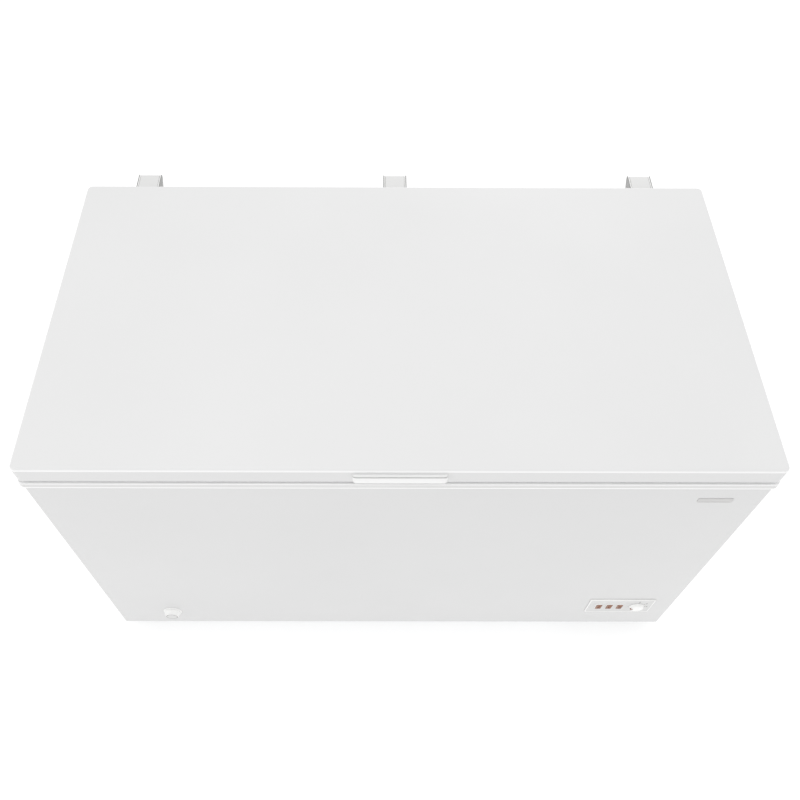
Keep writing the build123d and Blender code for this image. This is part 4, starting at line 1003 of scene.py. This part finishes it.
def make_basket():
    """Welded wire basket with a doubled rim, hangers over the two ledges and a plastic grip at each end."""
    low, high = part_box("wire_basket")
    coat = finishes["coated_wire"]
    thick, thin = 1.75 * mm, 1.2 * mm
    left, right = low.x + thick, high.x - thick
    tub_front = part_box("inner_liner")[0].y + 12 * mm
    tub_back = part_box("inner_liner")[1].y - 12 * mm
    front, back = tub_front + 5 * mm + thick, tub_back - 5 * mm - thick
    bottom, top = low.z + thin, high.z - thick
    pitch_x, pitch_y = 24 * mm, 25 * mm
    count_x = int((right - left - 30 * mm) / pitch_x)
    count_y = int((back - front - 30 * mm) / pitch_y)
    start_x = (left + right - count_x * pitch_x) / 2
    start_y = (front + back - count_y * pitch_y) / 2
    lengthways = [(start_x, front, top), (start_x, front, bottom)]
    lengthways += [(start_x, back, bottom), (start_x, back, top)]
    mesh = wire("basket_long_wires", lengthways, thin, 14 * mm, count_x + 1, (pitch_x, 0, 0), material=coat)
    finished("basket_long_wires", mesh, "basket", "coated_wire", ["wire_basket"], 60)
    lift = 2 * thin
    lowest = bottom + lift
    crossways = [(left, start_y, top), (left, start_y, lowest)]
    crossways += [(right, start_y, lowest), (right, start_y, top)]
    mesh = wire("basket_cross_wires", crossways, thin, 14 * mm, count_y + 1, (0, pitch_y, 0), material=coat)
    finished("basket_cross_wires", mesh, "basket", "coated_wire", smooth=60)
    hoop = [(left, front), (right, front), (right, back), (left, back)]
    spacing = 58 * mm
    lowest_hoop = [(x, y, top - 3 * spacing) for x, y in hoop]
    mesh = wire("basket_hoops", lowest_hoop, thin, 20 * mm, 3, (0, 0, spacing), True, coat)
    finished("basket_hoops", mesh, "basket", "coated_wire", smooth=60)
    rim = wire("basket_rim", [(x, y, top) for x, y in hoop], thick, 20 * mm, 1, (0, 0, 0), True, coat)
    finished("basket_rim", rim, "basket", "coated_wire", smooth=60)
    for end, inner, outer in (("front", front, low.y + thick), ("rear", back, high.y - thick)):
        first, last = left + 32 * mm, right - 32 * mm
        loop = [(first, inner, top), (first, outer, top), (last, outer, top), (last, inner, top)]
        mesh = wire("basket_hanger_" + end, loop, thick, 7 * mm, material=coat)
        finished("basket_hanger_" + end, mesh, "basket", "coated_wire", smooth=60)
        middle = (left + right) / 2
        half, deep = 48 * mm, 2.5 * mm
        foot = (middle - half, inner - deep, top - 14 * mm)
        grip = bar(foot, (middle + half, inner + deep, high.z), 2 * mm)
        finished("basket_grip_" + end, [grip], "basket", "white_plastic")


# ---- Vents ----

def hood(length, height, out):
    """A pressed louvre: a half-round hood that is open along its lower edge, standing on the XY plane."""
    rings = []
    stations = 9
    for k in range(stations):
        share = k / (stations - 1)
        x = length * (share - 0.5)
        rise = out * sin(pi * min(share * 4, 1, (1 - share) * 4) / 2) + 0.00005
        arc = []
        for step in range(7):
            angle = pi / 2 * step / 6
            arc.append((x, height * cos(angle) - height / 2, rise * sin(angle)))
        for step in range(6, -1, -1):
            angle = pi / 2 * step / 6
            inner_height, inner_rise = height - 0.8 * mm, max(rise - 0.8 * mm, 0)
            arc.append((x, inner_height * cos(angle) - height / 2, inner_rise * sin(angle)))
        rings.append(arc)
    return mesh_of("hood", shell(rings))


def make_vents():
    """Pressed hoods in two columns over the slots of the rear cover and of the side grille."""
    row_pitch = 14 * mm
    back, middle_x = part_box("rear_cover")[1].y, middle_of("rear_cover").x
    rows = [0.190 + dz * mm for dz in range(-63, 64, 14)]
    slots = [(middle_x + dx, back, z) for dx in (-0.048, 0.048) for z in rows]
    paint = finishes["white_painted_steel"]
    mesh = scattered("rear_louvres", hood(80 * mm, 7 * mm, 3 * mm), slots, (-pi / 2, 0, pi), paint)
    finished("rear_louvres", mesh, "cabinet", "white_painted_steel")
    face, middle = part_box("side_grille")[1].x, middle_of("side_grille")
    rows = [middle.z - 6 * mm + row * row_pitch for row in range(-4, 6)]
    slots = [(face, middle.y + dy, z) for dy in (-0.043, 0.043) for z in rows]
    plastic = finishes["white_plastic"]
    mesh = scattered("side_louvres", hood(70 * mm, 6 * mm, 2.4 * mm), slots, (pi / 2, 0, pi / 2), plastic)
    finished("side_louvres", mesh, "cabinet", "white_plastic")


def bead(length, width, rise):
    """A pressed stiffening bead with round ends, standing on the XY plane."""
    rings = []
    for inset, level in ((0, 0), (0.25, 0.55), (0.5, 0.85), (0.75, 1)):
        shrink = inset * width / 2
        loop = rounded_loop(length / 2 - shrink, width / 2 - shrink, (width / 2 - shrink) * 0.98, 6)
        rings.append([(x, y, rise * level) for x, y in loop])
    return mesh_of("bead", shell(rings))


def make_beads():
    """Stiffening beads pressed into the back sheet, and moulded ones on the underside of the lid."""
    paint = finishes["white_painted_steel"]
    rows = [(-0.235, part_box("rear_panel")[1].y, 0.11 + 0.12 * row) for row in range(5)]
    mesh = scattered("rear_beads", bead(0.80, 16 * mm, 1.4 * mm), rows, (-pi / 2, 0, 0), paint)
    finished("rear_beads", mesh, "cabinet", "white_painted_steel")
    underside, middle_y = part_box("lid_liner")[0].z + 0.1 * mm, middle_of("lid_liner").y
    rows = [(x, middle_y, underside) for x in (-0.45, -0.15, 0.15, 0.45)]
    plastic = finishes["white_plastic"]
    mesh = scattered("lid_beads", bead(0.44, 60 * mm, 1.8 * mm), rows, (pi, 0, pi / 2), plastic)
    finished("lid_beads", mesh, "lid", "white_plastic")


def make_rollers():
    """Moulded rollers: a grooved tread with round shoulders, a thin web with ribs and a hub for the axle."""
    for side in ("front_left", "front_right", "rear_left", "rear_right"):
        low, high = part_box("roller_" + side)
        centre = (low + high) / 2
        half, radius = (high.x - low.x) / 2, (high.z - low.z) / 2
        axle, hub, web = 4.05 * mm, 8 * mm, half - 3 * mm
        tread = [(-half, radius - 5.2 * mm), (-half, radius - 2.2 * mm)]
        tread += [(-half + 0.8 * mm, radius - 0.6 * mm)]
        tread += [(-half + 2.2 * mm, radius), (-3 * mm, radius), (-2.4 * mm, radius - 0.8 * mm)]
        outline = tread + [(-along, reach) for along, reach in tread[::-1]]
        outline += [(web, radius - 5.6 * mm), (web, hub), (half, hub - 0.4 * mm), (half, axle)]
        outline += [(-half, axle), (-half, hub - 0.4 * mm), (-web, hub), (-web, radius - 5.6 * mm)]
        spokes = []
        turns = [pi * k / 3 for k in range(6)]
        for face in (-half + 0.8 * mm, half - 3.6 * mm):
            rib = bar((face, hub - 0.6 * mm, -1 * mm), (face + 2.8 * mm, radius - 5 * mm, 1 * mm), 0.3 * mm)
            spokes += spread(rib, centre, turns, "X")
        skin = [spun(outline, centre, "X"), *spokes]
        finished("roller_wheel_" + side, skin, "wheel_" + side, "roller_plastic", ["roller_" + side], 40)


def make_drain_plug():
    """Stopper in the tub floor, with a cross grip."""
    low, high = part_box("drain_plug")
    centre = (low + high) / 2
    tip, seat = low.z - centre.z, high.z - 6 * mm - centre.z
    profile = [(tip, 0.0002), (tip, 4.8 * mm), (tip + 0.8 * mm, 5.6 * mm)]
    profile += [(seat - 0.1 * mm, 5.6 * mm), (seat, 14.6 * mm)]
    profile += [(seat + 0.6 * mm, 15 * mm), (seat + 2 * mm, 15 * mm)]
    profile += [(seat + 3 * mm, 14.2 * mm), (seat + 3 * mm, 0.0002)]
    arm = bar((-12 * mm, -1.6 * mm, seat + 2.5 * mm), (12 * mm, 1.6 * mm, seat + 6 * mm), 0.8 * mm)
    skin = [turned(profile, centre, "Z", 48), *spread(arm, centre, (0, pi / 2), "Z")]
    finished("drain_stopper", skin, "drain_plug", "white_plastic", ["drain_plug"], 40)


# ---- The whole freezer ----

place_camera()
light_studio()
lay_floor()
paint_cad_nodes()
make_screws()
make_handle()
make_gasket()
make_hinge_arms()
make_springs()
make_knob()
make_scale()
make_lamps()
make_drain_cap()
make_badge()
make_basket()
make_vents()
make_beads()
make_rollers()
make_drain_plug()
